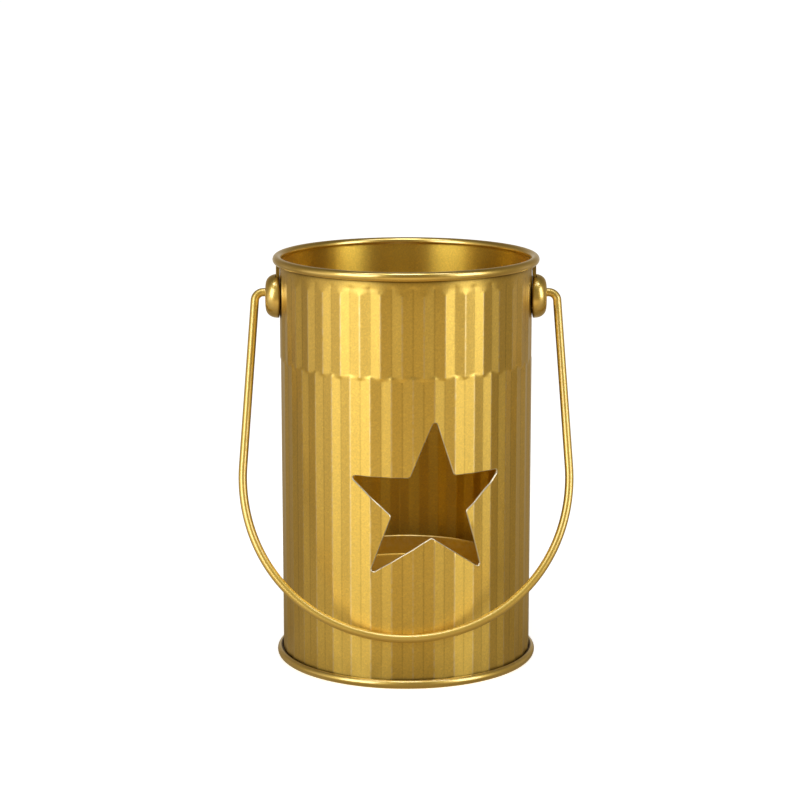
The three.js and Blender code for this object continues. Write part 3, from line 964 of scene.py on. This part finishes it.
@dataclass
class RimWire:
    """Wire that the rim is curled round."""

    paints: Paints
    centre: Point = (50.95, 161.13)
    radius: float = 0.84
    section_steps: int = 16
    columns: int = 128
    sharp: float = 60.0

    def build(self) -> None:
        """Makes the ring, a circle turned about Z."""
        section = arc(self.centre, self.radius, 0, 360, self.section_steps + 1)[:-1]
        ring = revolve(section, self.columns)
        piece = surface("rim_core_wire", ring, [self.paints["wire"]], ring=True)
        settle(piece, self.sharp, "rim_wire", Carrier.LANTERN)


@dataclass
class BasePan:
    """Bottom of the lantern: a flat floor, a ground ring and the curl round the body's foot."""

    paints: Paints
    centre: Point = (50.3, 1.83)
    bead: float = 1.82
    sheet: float = 0.5
    floor_height: float = 1.6
    floor_edge: float = 47.9
    floor_bevel: Point = (0.6, 0.1)
    ring_half: float = 0.5
    ring_bevel: Point = (0.3, 0.12)
    ring_trim: float = 0.1
    ground: float = 0.01
    curl_start: float = -70.0
    curl_end: float = 86.0
    curl_back: float = -115.0
    # Painted highlight: the bead's top above this level is paler.
    highlight_level: float = 3.3
    highlight_share: float = 0.6
    # Painted shade: the inside of the curl above this level is darkened.
    shade_reach: float = 0.35
    shade_level: float = 2.4
    shade_run: float = 0.6
    columns: int = 256
    sharp: float = 34.0

    def section(self) -> Array:
        """Closed section of the pan.

        Returns:
            Points from the axis along the underside, round the curl and back inside.
        """
        centre, half, edge, low = self.centre, self.sheet / 2, self.floor_edge, self.floor_height
        near, far = centre[0] - self.ring_half, centre[0] + self.ring_half
        tip = arc(centre, self.bead - half, self.curl_end, self.curl_end, 1)[0]
        return np.concatenate([
            [(0, low), (edge - self.floor_bevel[0], low), (edge, low - self.floor_bevel[1])],
            [(near - self.ring_bevel[0], self.ring_bevel[1])],
            [(near, self.ground), (far - self.ring_trim, self.ground)],
            arc(centre, self.bead, self.curl_start, self.curl_end, 26),
            arc(tip, half, self.curl_end, self.curl_end + 180, 6)[1:-1],
            arc(centre, self.bead - self.sheet, self.curl_end, self.curl_back, 22),
            [(edge, low + self.sheet), (0, low + self.sheet)],
        ])

    def build(self) -> None:
        """Makes the pan, its section turned about Z."""
        pan = revolve(self.section(), self.columns)
        piece = surface("base_disc", pan, [self.paints["base"]])
        _, away, height = polar(points_of(piece))
        # Painted shade inside the curl where it meets the body.
        inside = away < self.centre[0] + self.shade_reach
        seam = inside * smooth_step(height, self.shade_level, self.shade_run)
        # Painted highlight on the top of the bead, and the painted shade mask.
        mark(piece, crest=(height > self.highlight_level) * self.highlight_share, seam=seam)
        settle(piece, self.sharp, "base_pan", Carrier.LANTERN)


@dataclass
class Ear:
    """One ear of the bail: a plate with a strap, its rivet and the hollow dome over both."""

    paints: Paints
    side: Side
    seat: float = 50.3
    level: float = 146.13
    dome_radius: float = 8.72
    dome_depth: float = 5.22
    dome_wall: float = 0.8
    face_radius: float = 4.7
    shoulder_pull: float = 2.4
    shoulder_low: float = 3.2
    shoulder_end: float = 0.6
    edge_height: float = 0.15
    edge_trim: float = 0.12
    inner_trim: float = 0.1
    inner_corner: float = 2.6
    skirt: float = 2.0
    fit_radius: float = 50.25
    # Painted shade on the dome near its back edge, where it meets the wall.
    gap_start: float = 0.25
    gap_run: float = 0.7
    hole_radius: float = 1.95
    hole_rise: float = 1.44
    hole_bevel: float = 0.1
    hole_flare: float = 0.12
    hole_lip: float = 0.02
    notch_gap: float = 0.3
    notch_run: float = 0.5
    notch_lean: float = 0.08
    plate_radius: float = 7.6
    plate: float = 1.0
    plate_edge: float = 0.22
    # Painted shade over the whole plate and strap.
    plate_shade: float = 0.7
    strap_width: float = 6.0
    strap_top: float = 13.2
    strap_lean: float = 0.4
    strap_run: float = 3.0
    rivet_drop: float = 4.25
    rivet_hole: float = 1.3
    rivet_radius: float = 1.0
    rivet_head: float = 1.8
    rivet_rise: float = 0.62
    rivet_gap: float = 0.28
    rivet_tail: float = 47.9
    tail_edge: tuple[Point, ...] = ((-0.1, 0.6), (0.0, 0.5), (0.0, 0.15), (-0.2, 0.0))
    smallest: float = 1e-6
    dome_columns: int = 160
    plate_columns: int = 240
    rivet_columns: int = 32
    dome_sharp: float = 50.0
    plate_sharp: float = 40.0

    def put(self, name: str, grid: Array, finish: str, ring: bool) -> Piece:
        """Makes one mesh of this ear from a grid about Z.

        Args:
            name: Name of the piece without its side.
            grid: Points whose z counts from the seat away from the body.
            finish: Short name of its finish.
            ring: Whether the rows close on themselves.

        Returns:
            The piece, with (x, y, z) moved to (z, y, -x), then lifted and turned about Z.
        """
        x, y, z = grid[..., 2] + self.seat, grid[..., 1], self.level - grid[..., 0]
        c, s = math.cos(self.side.value), math.sin(self.side.value)
        placed = np.stack([c * x - s * y, s * x + c * y, z], -1)
        return surface(f"{name}_{self.side.name}", placed, [self.paints[finish]], ring)

    def dome_section(self) -> Array:
        """Section of the dome without its face.

        Returns:
            Points from the face round the shoulder to the back edge and up the inside.
        """
        radius, depth, face = self.dome_radius, self.dome_depth, self.face_radius
        inner, corner = radius - self.dome_wall, self.inner_corner
        shoulder = [(face, depth), (face + self.shoulder_pull, depth)]
        shoulder += [(radius, self.shoulder_low), (radius, self.shoulder_end)]
        return np.concatenate([
            bezier(shoulder, 22),
            [(radius, self.edge_height), (radius - self.edge_trim, 0.0)],
            [(inner + self.inner_trim, 0.0), (inner, self.edge_height)],
            arc((inner - corner, depth - self.dome_wall - corner), corner, 0, 90, 8),
        ])

    def dome_grid(self) -> Array:
        """Closed grid of the dome, open at the back.

        Returns:
            Rows from the bail's hole, a circle off the middle, over the face and round the
            shoulder to the back edge, and back along the inside to the hole. The back edge
            follows the wall's round and is raised to a notch where the strap passes.
        """
        angle, depth = turns(self.dome_columns), self.dome_depth
        inner_radius = self.dome_radius - self.dome_wall
        beside = np.clip(np.abs(inner_radius * np.sin(angle)) - self.strap_width / 2, 0, None)
        near = (np.cos(angle) < 0) * (1 - smooth_step(beside, self.notch_gap, self.notch_run))
        raised = near * (self.plate + self.notch_gap + self.skirt) - self.skirt
        radius, high = self.dome_section().T[:, :, None]
        fitted = np.sqrt(self.fit_radius**2 - (radius * np.sin(angle)) ** 2) - self.seat
        sunk = high + fitted * np.maximum(0.0, 1 - high / self.skirt)
        lift = np.maximum(sunk, raised + self.notch_lean * high)
        rows = np.stack([radius * np.cos(angle), radius * np.sin(angle), lift], -1)
        ring = np.stack([np.cos(angle), np.sin(angle), np.zeros_like(angle)], -1)
        middle, out = np.array([-self.hole_rise, 0, 0]), np.array(UP)
        edge = middle + self.hole_radius * ring
        hole = np.stack([
            edge + (depth - self.dome_wall) * out,
            edge + (depth - self.hole_bevel) * out,
            middle + (self.hole_radius + self.hole_flare) * ring + (depth + self.hole_lip) * out,
        ])
        face = between(hole[2], self.face_radius * ring + depth * out, 4)
        return np.concatenate([hole, face, rows, between(rows[-1], hole[0], 4)])

    def plate_grid(self) -> Array:
        """Closed grid of the plate.

        Returns:
            Rows from the rivet hole across the outer face, over the rounded edge and back across
            the inner face. Each ray from the hole's middle ends on the disc or on the strap,
            whichever is further. The strap thickens towards the smooth collar.
        """
        angle = turns(self.plate_columns)
        across, up = np.sin(angle), -np.cos(angle)
        drop, edge, thick = self.rivet_drop, self.plate_edge, self.plate
        to_disc = drop * up + np.sqrt((drop * up) ** 2 + self.plate_radius**2 - drop**2)
        to_side = self.strap_width / 2 / np.maximum(np.abs(across), self.smallest)
        to_top = (self.strap_top + drop) / np.maximum(up, self.smallest)
        reach = np.where(up > 0, np.maximum(to_disc, np.minimum(to_side, to_top)), to_disc)
        turn = arc((0.0, 0.0), edge, 90, 0, 5)
        inset = edge - np.concatenate([turn, turn[::-1]])[:, :1]
        hole = np.full((1, angle.size), self.rivet_hole)
        length = np.concatenate([hole, reach - inset, hole])
        rounded = [thick - edge + turn[:, 1:], edge - turn[::-1, 1:]]
        high = np.concatenate([[[thick]], *rounded, [[0.0]]])
        below = drop - length * up
        lean = self.strap_lean * smooth_step(-below, self.plate_radius, self.strap_run)
        return np.stack([below, length * across, high - lean * (1 - high / thick)], -1)

    def rivet_grid(self) -> Array:
        """Grid of the rivet.

        Returns:
            A domed head, a shank and a flat tail turned about the rivet's axis.
        """
        face, tail = self.plate + self.rivet_gap, self.rivet_tail - self.seat
        section = np.concatenate([
            cap(self.rivet_head, self.rivet_rise, face),
            [(self.rivet_radius, face), (self.rivet_radius, tail + self.tail_edge[0][1])],
            np.add(self.tail_edge, (self.rivet_head, tail)),
            [(0.0, tail)],
        ])
        return revolve(section, self.rivet_columns) + np.array([self.rivet_drop, 0, 0])

    def build(self) -> None:
        """Makes the plate, the rivet and the dome."""
        side = self.side.name
        plate = self.put("ear_strap", self.plate_grid(), "ear", True)
        # Painted shade: the plate and strap are darkened all over.
        mark(plate, seam=np.full(len(plate.data.vertices), self.plate_shade))
        settle(plate, self.plate_sharp, f"ear_plate_{side}", Carrier.LANTERN)
        rivet = self.put("ear_stud", self.rivet_grid(), "rivet", False)
        settle(rivet, self.plate_sharp, f"ear_rivet_{side}", Carrier.LANTERN)
        dome = self.put("ear_cap", self.dome_grid(), "ear", True)
        # Painted shade along the dome's back edge next to the wall.
        away = polar(points_of(dome))[1] - self.fit_radius
        mark(dome, seam=1 - smooth_step(away, self.gap_start, self.gap_run))
        settle(dome, self.dome_sharp, f"ear_dome_{side}", Carrier.LANTERN)


@dataclass
class Bail:
    """Bent wire handle that hangs forward against the body."""

    paints: Paints
    radius: float = 1.67
    pivot: float = 147.57
    tilt: float = math.radians(22.24)
    pin_start: float = 53.45
    pin_end: float = 56.4
    bend: float = 3.4
    bow_radius: float = 63.68
    bow_level: float = 73.4
    bow_square: float = 0.0085
    head_radius: float = 2.55
    head_width: float = 1.05
    head_steps: tuple[Point, ...] = ((1.0, 0.0), (1.0, 0.9), (0.9, 1.0), (0.1, 1.0), (0.0, 0.9))
    # Painted shade on the side of the legs that faces the body, fading out down the bow.
    body_side_shade_strength: float = 0.74
    body_side_start: float = 0.45
    body_side_run: float = 0.3
    body_side_fade: float = 85.0
    body_side_end: float = 40.0
    bow_steps: int = 110
    leg_steps: int = 22
    columns: int = 32
    sharp: float = 50.0

    def bow(self, angle: Array) -> Array:
        """Distance of the bow from its middle: its radius, swollen by sin(2 angle) squared."""
        return self.bow_radius * (1 + self.bow_square * np.sin(2 * angle) ** 2)

    def half_path(self) -> Array:
        """Middle of the wire from the right pin to the lowest point.

        Returns:
            Points across and down from the pivot: pin, quarter bend, straight leg, and a bow that
            starts where its tangent is the leg's and swells a little towards its corners.
        """
        bend = arc((self.pin_end, self.bend), self.bend, -90, 0, 16)
        slope = math.atan2(self.bow_radius - bend[-1, 0], self.bow_level - bend[-1, 1])
        angle = np.linspace(-slope, math.pi / 2, self.bow_steps)
        reach = self.bow(np.clip(angle, 0, None))
        bow = np.stack([reach * np.cos(angle), self.bow_level + reach * np.sin(angle)], -1)
        leg = between(bend[-1:], bow[:1], self.leg_steps)[:, 0]
        pin = np.linspace(self.pin_start + self.head_width, self.pin_end, 6)[:-1]
        return np.concatenate([np.stack([pin, np.zeros_like(pin)], -1), bend, leg, bow])

    def wire_grid(self) -> Array:
        """Grid of the wire with an upset head on both ends.

        Returns:
            A circle carried along the path. Its radius grows to the head's and falls to nothing
            at each end, which closes it.
        """
        mirror = np.array([-1, 1])
        half = self.half_path()
        path = np.concatenate([half, half[-2::-1] * mirror])
        ahead = unit(np.gradient(path, axis=0))
        back, size = np.array(self.head_steps).T
        head = path[0] - back[:, None] * [self.head_width, 0.0]
        head_size = size * self.head_radius
        radius = np.concatenate([head_size, np.full(len(path), self.radius), head_size[::-1]])
        path = np.concatenate([head, path, head[::-1] * mirror])
        ends = np.tile([[1.0, 0.0]], (len(head), 1))
        ahead = np.concatenate([ends, ahead, ends * mirror])
        across = np.stack([ahead[:, 1], -ahead[:, 0]], -1)
        turn = turns(self.columns)
        flat = path[:, None] + radius[:, None, None] * np.cos(turn)[None, :, None] * across[:, None]
        off = radius[:, None] * np.sin(turn)[None]
        s, c = math.sin(self.tilt), math.cos(self.tilt)
        x, down = flat[..., 0], flat[..., 1]
        return np.stack([x, -down * s + off * c, self.pivot - down * c - off * s], -1)

    def body_side_shade(self, points: Array) -> Array:
        """Mask of painted shade on the side of the wire that faces the body.

        Args:
            points: Points in millimetres.

        Returns:
            A step of how far a point lies to the inner side of the wire's middle, in radii,
            faded out down the bow. The middle is the straight leg above and the bow below.
        """
        x, drop = np.abs(points[:, 0]), self.pivot - points[:, 2]
        down = drop * math.cos(self.tilt) - points[:, 1] * math.sin(self.tilt)
        leg_ends = [self.pin_end + self.bend, self.bow_radius]
        off_leg = x - np.interp(down, [self.bend, self.bow_level], leg_ends)
        low = down - self.bow_level
        off_bow = np.hypot(x, low) - self.bow(np.arctan2(low, x))
        inner = -np.where(low > 0, off_bow, off_leg) / self.radius
        share = smooth_step(inner, self.body_side_start, self.body_side_run)
        beside = smooth_step(down, self.bend, self.bend)
        fade = beside * (1 - smooth_step(down, self.body_side_fade, self.body_side_end))
        return self.body_side_shade_strength * share * fade

    def build(self) -> None:
        """Makes the wire."""
        piece = surface("bail_wire", self.wire_grid(), [self.paints["bail"]])
        # Painted shade on the wire's body side.
        mark(piece, seam=self.body_side_shade(points_of(piece)))
        settle(piece, self.sharp, "bail_handle", Carrier.BAIL)


@dataclass
class CandleInsert:
    """Raised candle dish on a conical stand, joined by three rivets."""

    paints: Paints
    sheet: float = 0.6
    floor: float = 30.3
    floor_trim: float = 1.0
    wall: float = 39.4
    corner: float = 1.1
    rim_top: float = 38.4
    # Painted highlight: the top of the rolled rim is paler.
    rim_highlight: float = 0.7
    hem: float = 0.72
    hem_start: float = -60.0
    stand_top: float = 29.4
    stand_top_radius: float = 23.0
    stand_top_bend: tuple[Point, ...] = ((-1.2, 0.0), (-0.4, 0.0), (0.0, -0.5), (0.6, -2.0))
    skirt_foot: float = 43.0
    skirt_foot_bend: tuple[Point, ...] = ((-0.6, 2.0), (0.0, 0.6), (0.5, 0.0), (1.2, 0.0))
    foot_radius: float = 46.15
    foot_top: float = 3.0
    rivets: int = 3
    rivet_circle: float = 15.2
    rivet_radius: float = 1.0
    rivet_hole: float = 1.3
    rivet_head: float = 1.8
    rivet_rise: float = 0.6
    rivet_gap: float = 0.28
    hole_below: float = 4.0
    hole_above: float = 3.0
    columns: int = 192
    rivet_columns: int = 32
    hole_columns: int = 24
    sharp: float = 36.0
    rivet_sharp: float = 40.0

    def dish_section(self) -> Array:
        """Section of the dish.

        Returns:
            Points from the axis along the underside, over the rolled rim and back.
        """
        low, flat = self.floor - self.sheet, self.wall - self.corner - self.floor_trim
        corner = (self.wall - self.corner, low + self.corner)
        hem = (self.wall - self.sheet + self.hem, self.rim_top - self.hem)
        return np.concatenate([
            [(0, low), (flat, low)],
            arc(corner, self.corner, -90, 0, 10),
            arc(hem, self.hem, self.hem_start, 180, 22),
            arc(corner, self.corner - self.sheet, 0, -90, 8),
            [(flat, self.floor), (0, self.floor)],
        ])

    def stand_section(self) -> Array:
        """Section of the stand.

        Returns:
            Points along the top, the skirt between two bends and the foot, and back inside.
        """
        top, foot = self.stand_top, self.foot_top
        upper = bezier(np.add(self.stand_top_bend, (self.stand_top_radius, top)), 8)
        lower = bezier(np.add(self.skirt_foot_bend, (self.skirt_foot, foot)), 8)
        face = np.concatenate([upper, lower])
        return np.concatenate([
            [(0, top)],
            face,
            [(self.foot_radius, foot), (self.foot_radius, foot - self.sheet)],
            face[::-1] - [self.sheet / 2, self.sheet],
            [(0, top - self.sheet)],
        ])

    def rivet_section(self) -> Array:
        """Section of a rivet.

        Returns:
            Points of the domed head on the dish, the shank, and the domed tail under the stand.
        """
        high, low = self.floor + self.rivet_gap, self.stand_top - self.sheet - self.rivet_gap
        head = cap(self.rivet_head, self.rivet_rise, high)
        tail = cap(self.rivet_head, -self.rivet_rise, low)[::-1]
        return np.concatenate([head, [(self.rivet_radius, high), (self.rivet_radius, low)], tail])

    def rivet_places(self) -> Array:
        """Middles of the rivets round the dish."""
        angle = math.pi / 2 + turns(self.rivets)
        return self.rivet_circle * np.stack([np.cos(angle), np.sin(angle), 0 * angle], -1)

    def hole_cutters(self, label: str) -> list[Piece]:
        """Upright bars for the rivet holes.

        Args:
            label: Name of the bars, which are then numbered.

        Returns:
            Closed meshes, a circle turned about each rivet's middle.
        """
        low, high = self.stand_top - self.hole_below, self.floor + self.hole_above
        section = np.array([(0, low), (self.rivet_hole, low), (self.rivet_hole, high), (0, high)])
        bar = revolve(section, self.hole_columns)
        places = enumerate(self.rivet_places())
        return [surface(f"{label}_{i}", bar + place, []) for i, place in places]

    def build_turned(self, name: str, node: str, section: Array) -> None:
        """Makes one turned sheet with the rivet holes in it.

        Args:
            name: Name of the piece.
            node: CAD node that it stands for.
            section: Its section.
        """
        piece = surface(name, revolve(section, self.columns), [self.paints["dish"]])
        carve(piece, self.hole_cutters(f"{name}_hole"))
        # Painted highlight on the top of the rolled rim.
        mark(piece, crest=(points_of(piece)[:, 2] > self.rim_top - self.hem) * self.rim_highlight)
        settle(piece, self.sharp, node, Carrier.INSERT)

    def build(self) -> None:
        """Makes the dish, its stand and the rivets."""
        self.build_turned("dish_pan", "candle_dish", self.dish_section())
        self.build_turned("stand_cone", "dish_stand", self.stand_section())
        rivet = revolve(self.rivet_section(), self.rivet_columns)
        for number, place in enumerate(self.rivet_places(), 1):
            piece = surface(f"dish_stud_{number}", rivet + place, [self.paints["rivet"]])
            settle(piece, self.rivet_sharp, f"dish_rivet_{number}", Carrier.INSERT)


@dataclass(frozen=True)
class SoftBox:
    """One soft lamp, placed by azimuth, elevation and distance from the lantern's middle."""

    name: str
    azimuth: float
    elevation: float
    distance: float
    width: float
    height: float
    power: float

    def build(self, aim: float) -> None:
        """Makes the lamp and points it at the given height on the axis.

        Args:
            aim: Height in metres that the lamp looks at.
        """
        lamp = bpy.data.lights.new(self.name, "AREA")
        lamp.shape = "RECTANGLE"
        lamp.size, lamp.size_y = self.width, self.height
        lamp.energy = self.power
        holder = link(self.name, lamp)
        across, up = math.radians(self.azimuth), math.radians(self.elevation)
        reach, rise = self.distance * math.cos(up), self.distance * math.sin(up)
        holder.location = (reach * math.sin(across), -reach * math.cos(across), aim + rise)
        holder.rotation_euler = (math.pi / 2 - up, 0.0, across)
        holder.visible_camera = False


WARM: Colour = (1.0, 0.745, 0.37)
CREAM: Colour = (1.0, 0.9, 0.72)
WHITE: Colour = (1.0, 1.0, 1.0)


@dataclass(frozen=True)
class Bell:
    """A glow of the tent round one azimuth in degrees, exp(-(apart / width)^power).

    A bell with a ring distance in metres also falls off to both sides of that ring.
    """

    azimuth: float
    width: float
    glow: float
    tint: Colour = WHITE
    power: float = 2.0
    ring: float = 0.0
    ring_width: float = 0.2


@dataclass
class Studio:
    """Camera, pale floor, white surround, soft lamps and the tent that the metal reflects."""

    camera_place: Triple = (-0.0004, -0.9448, 0.2927)
    camera_tilt: float = math.radians(78.59)
    camera_reach: Point = (0.01, 100.0)
    lens: float = 107.22
    sensor: float = 36.0
    floor_size: float = 30.0
    floor_colour: float = 0.8
    floor_glow: Point = (0.66, 0.8)
    floor_reach: Point = (0.15, 1.2)
    ambient: float = 0.3
    tent_radius: float = 1.6
    tent_height: float = 0.6
    tent_top: float = 1.7
    tent_base: float = 0.23
    tent_crown: float = 0.2
    bell_top: float = 0.25
    apron_start: float = 0.051
    apron_middle: float = 0.3
    apron_height: float = 0.0003
    # Painted shadow: the apron's glow is dimmed close to the lantern.
    apron_near: float = 0.8
    apron_reach: float = 0.12
    tent_rows: int = 9
    tent_columns: int = 96
    bells: tuple[Bell, ...] = (
        Bell(0.0, 42.0, 0.68, WARM, ring=0.36, ring_width=0.24),
        Bell(-64.0, 33.0, 0.82, CREAM, 6.0, 1.2, 0.8),
        Bell(58.0, 19.0, 0.48, CREAM, 4.0, 1.2, 0.8),
        Bell(180.0, 26.0, 0.45),
        Bell(122.0, 11.0, 0.3, CREAM, 2.0, 1.2, 0.8),
        Bell(-122.0, 9.0, 0.22, CREAM, 2.0, 1.2, 0.8),
    )
    lamps: tuple[SoftBox, ...] = (
        SoftBox("left_box", -43.0, 22.0, 1.2, 0.66, 0.95, 5.0),
        SoftBox("right_box", 56.0, 22.0, 1.2, 0.5, 0.95, 4.1),
        SoftBox("top_box", 0.0, 76.0, 1.2, 0.36, 0.4, 2.2),
        SoftBox("top_left_box", -55.0, 66.0, 1.27, 0.2, 0.3, 0.8),
        SoftBox("top_right_box", 55.0, 66.0, 1.27, 0.2, 0.3, 0.8),
    )
    lamp_aim: float = 0.1

    def build(self) -> None:
        """Makes everything round the lantern."""
        self.build_camera()
        self.build_world()
        self.build_floor()
        self.build_tent()
        for lamp in self.lamps:
            lamp.build(self.lamp_aim)
        bpy.context.scene.view_settings.view_transform = "Standard"

    def build_camera(self) -> None:
        """Sets the camera at the photograph's viewpoint."""
        lens = bpy.data.cameras.new("camera")
        lens.lens = self.lens
        lens.sensor_width = self.sensor
        lens.clip_start, lens.clip_end = self.camera_reach
        camera = link("camera", lens)
        camera.location = self.camera_place
        camera.rotation_euler = (self.camera_tilt, 0.0, 0.0)
        bpy.context.scene.camera = camera

    def seen_directly(self, sheet: NodeSheet) -> Socket:
        """Tells rays that see a surface from those that only light it.

        Args:
            sheet: Node sheet to work on.

        Returns:
            1 for rays of the camera, of gloss and of glass, and 0 for others.
        """
        path = sheet.add("NodeLightPath").outputs
        some = sheet.math("ADD", path["Is Camera Ray"], path["Is Glossy Ray"])
        total = sheet.math("ADD", some, path["Is Transmission Ray"])
        return sheet.math("MINIMUM", total, 1.0)

    def build_world(self) -> None:
        """White surround where it is seen, and a plain soft light elsewhere."""
        world = bpy.data.worlds.new("surround")
        sheet = blank_sheet(world)
        seen = self.seen_directly(sheet)
        strength = sheet.math("MULTIPLY_ADD", seen, 1.0 - self.ambient, self.ambient)
        glow = sheet.add("NodeBackground", {"Color": (*WHITE, 1.0), "Strength": strength})
        sheet.add("NodeOutputWorld", {"Surface": glow.outputs[0]})
        bpy.context.scene.world = world

    def build_floor(self) -> None:
        """Pale floor that glows where it is seen directly and keeps the lantern's shadow."""
        half = self.floor_size / 2
        mesh = bpy.data.meshes.new("floor")
        corners = [(-half, -half, 0), (half, -half, 0), (half, half, 0), (-half, half, 0)]
        mesh.from_pydata(corners, [], [(0, 1, 2, 3)])
        paint = bpy.data.materials.new("floor_white")
        sheet = blank_sheet(paint)
        matt = sheet.add("NodeBsdfDiffuse", {"Color": (*(self.floor_colour,) * 3, 1.0)})
        away = sheet.length(sheet.add("NodeTexCoord").outputs["Object"])
        level = sheet.ramp(away, self.floor_reach, self.floor_glow)
        strength = sheet.math("MULTIPLY", self.seen_directly(sheet), level)
        glow = sheet.add("NodeEmission", {"Color": (*WHITE, 1.0), "Strength": strength})
        both = sheet.value("NodeAddShader", matt.outputs[0], glow.outputs[0])
        sheet.add("NodeOutputMaterial", {"Surface": both})
        paint.cycles.emission_sampling = "NONE"
        mesh.materials.append(paint)
        link("floor", mesh)

    def bell_glow(self, sheet: NodeSheet, bell: Bell, azimuth: Socket, away: Socket) -> Socket:
        """Level of one bell of the tent.

        Args:
            sheet: Node sheet to work on.
            bell: The bell.
            azimuth: Azimuth of a point of the tent.
            away: Its distance from the origin.

        Returns:
            The bell's glow times its fall by azimuth, and times exp(-(off / width)^2) where off
            is the distance to its ring.
        """
        apart = sheet.math("SUBTRACT", azimuth, math.radians(bell.azimuth))
        apart = sheet.math("ABSOLUTE", sheet.math("WRAP", apart, math.pi, -math.pi))
        share = sheet.math("DIVIDE", apart, math.radians(bell.width))
        fall = sheet.math("MULTIPLY", sheet.math("POWER", share, bell.power), -1.0)
        level = sheet.math("MULTIPLY", sheet.math("EXPONENT", fall), bell.glow)
        if bell.ring:
            off = sheet.math("DIVIDE", sheet.math("SUBTRACT", away, bell.ring), bell.ring_width)
            drop = sheet.math("MULTIPLY", sheet.math("POWER", off, 2.0), -1.0)
            level = sheet.math("MULTIPLY", level, sheet.math("EXPONENT", drop))
        return level

    def tent_paint(self) -> Material:
        """Glow of the tent by azimuth, height and distance.

        Returns:
            Material that emits a warm base level that falls off overhead, plus tinted bells by
            azimuth that run out up the tent, all dimmed on the ground close to the lantern as a
            painted shadow.
        """
        paint = bpy.data.materials.new("tent_cloth")
        sheet = blank_sheet(paint)
        place = sheet.add("NodeTexCoord").outputs["Object"]
        axes = sheet.add("NodeSeparateXYZ", {0: place}).outputs
        azimuth = sheet.math("ARCTAN2", axes["X"], sheet.math("MULTIPLY", axes["Y"], -1.0))
        away = sheet.length(place)
        high = sheet.ramp(axes["Z"], (0.0, self.tent_height), (1.0, self.bell_top))
        # Painted shadow of the lantern on the ground that the metal reflects.
        apron = (self.apron_start, self.apron_reach), (self.apron_near, 1.0)
        near = sheet.ramp(away, *apron, "SMOOTHSTEP")
        overhead = self.tent_base, self.tent_base * self.tent_crown
        crown = sheet.ramp(axes["Z"], (self.tent_height, self.tent_top), overhead)
        light = sheet.scale(WARM, sheet.math("MULTIPLY", near, crown))
        for bell in self.bells:
            level = sheet.math("MULTIPLY", self.bell_glow(sheet, bell, azimuth, away), high)
            tinted = sheet.scale(bell.tint, sheet.math("MULTIPLY", level, near))
            light = sheet.value("NodeVectorMath", light, tinted)
        glow = sheet.add("NodeEmission", {"Color": light, "Strength": 1.0})
        sheet.add("NodeOutputMaterial", {"Surface": glow.outputs[0]})
        return paint

    def build_tent(self) -> None:
        """Dome of cloth and its apron on the ground, a section turned about Z, seen by gloss."""
        up = np.linspace(0, math.pi / 2, self.tent_rows)
        high = self.tent_height + (self.tent_top - self.tent_height) * np.sin(up)
        dome = np.stack([self.tent_radius * np.cos(up), high], -1)
        stops = (self.apron_start, self.apron_middle, self.tent_radius)
        ground = [(stop, self.apron_height) for stop in stops]
        grid = revolve(np.concatenate([ground, dome]), self.tent_columns)
        mesh = grid_mesh("tent", grid, False)
        mesh.materials.append(self.tent_paint())
        tent = link("tent", mesh)
        tent.visible_camera = False
        tent.visible_diffuse = False
        tent.visible_shadow = False
        tent.visible_transmission = False


def main() -> None:
    """Builds the lantern and its studio."""
    logging.basicConfig(level=logging.INFO, format="%(name)s: %(message)s")
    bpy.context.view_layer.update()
    effects = Effects()
    paints = {name: finish.material(effects) for name, finish in FINISHES.items()}
    FlutedBody(paints).build()
    RimWire(paints).build()
    BasePan(paints).build()
    for side in Side:
        Ear(paints, side).build()
    Bail(paints).build()
    CandleInsert(paints).build()
    Studio().build()


if __name__ == "__main__":
    main()
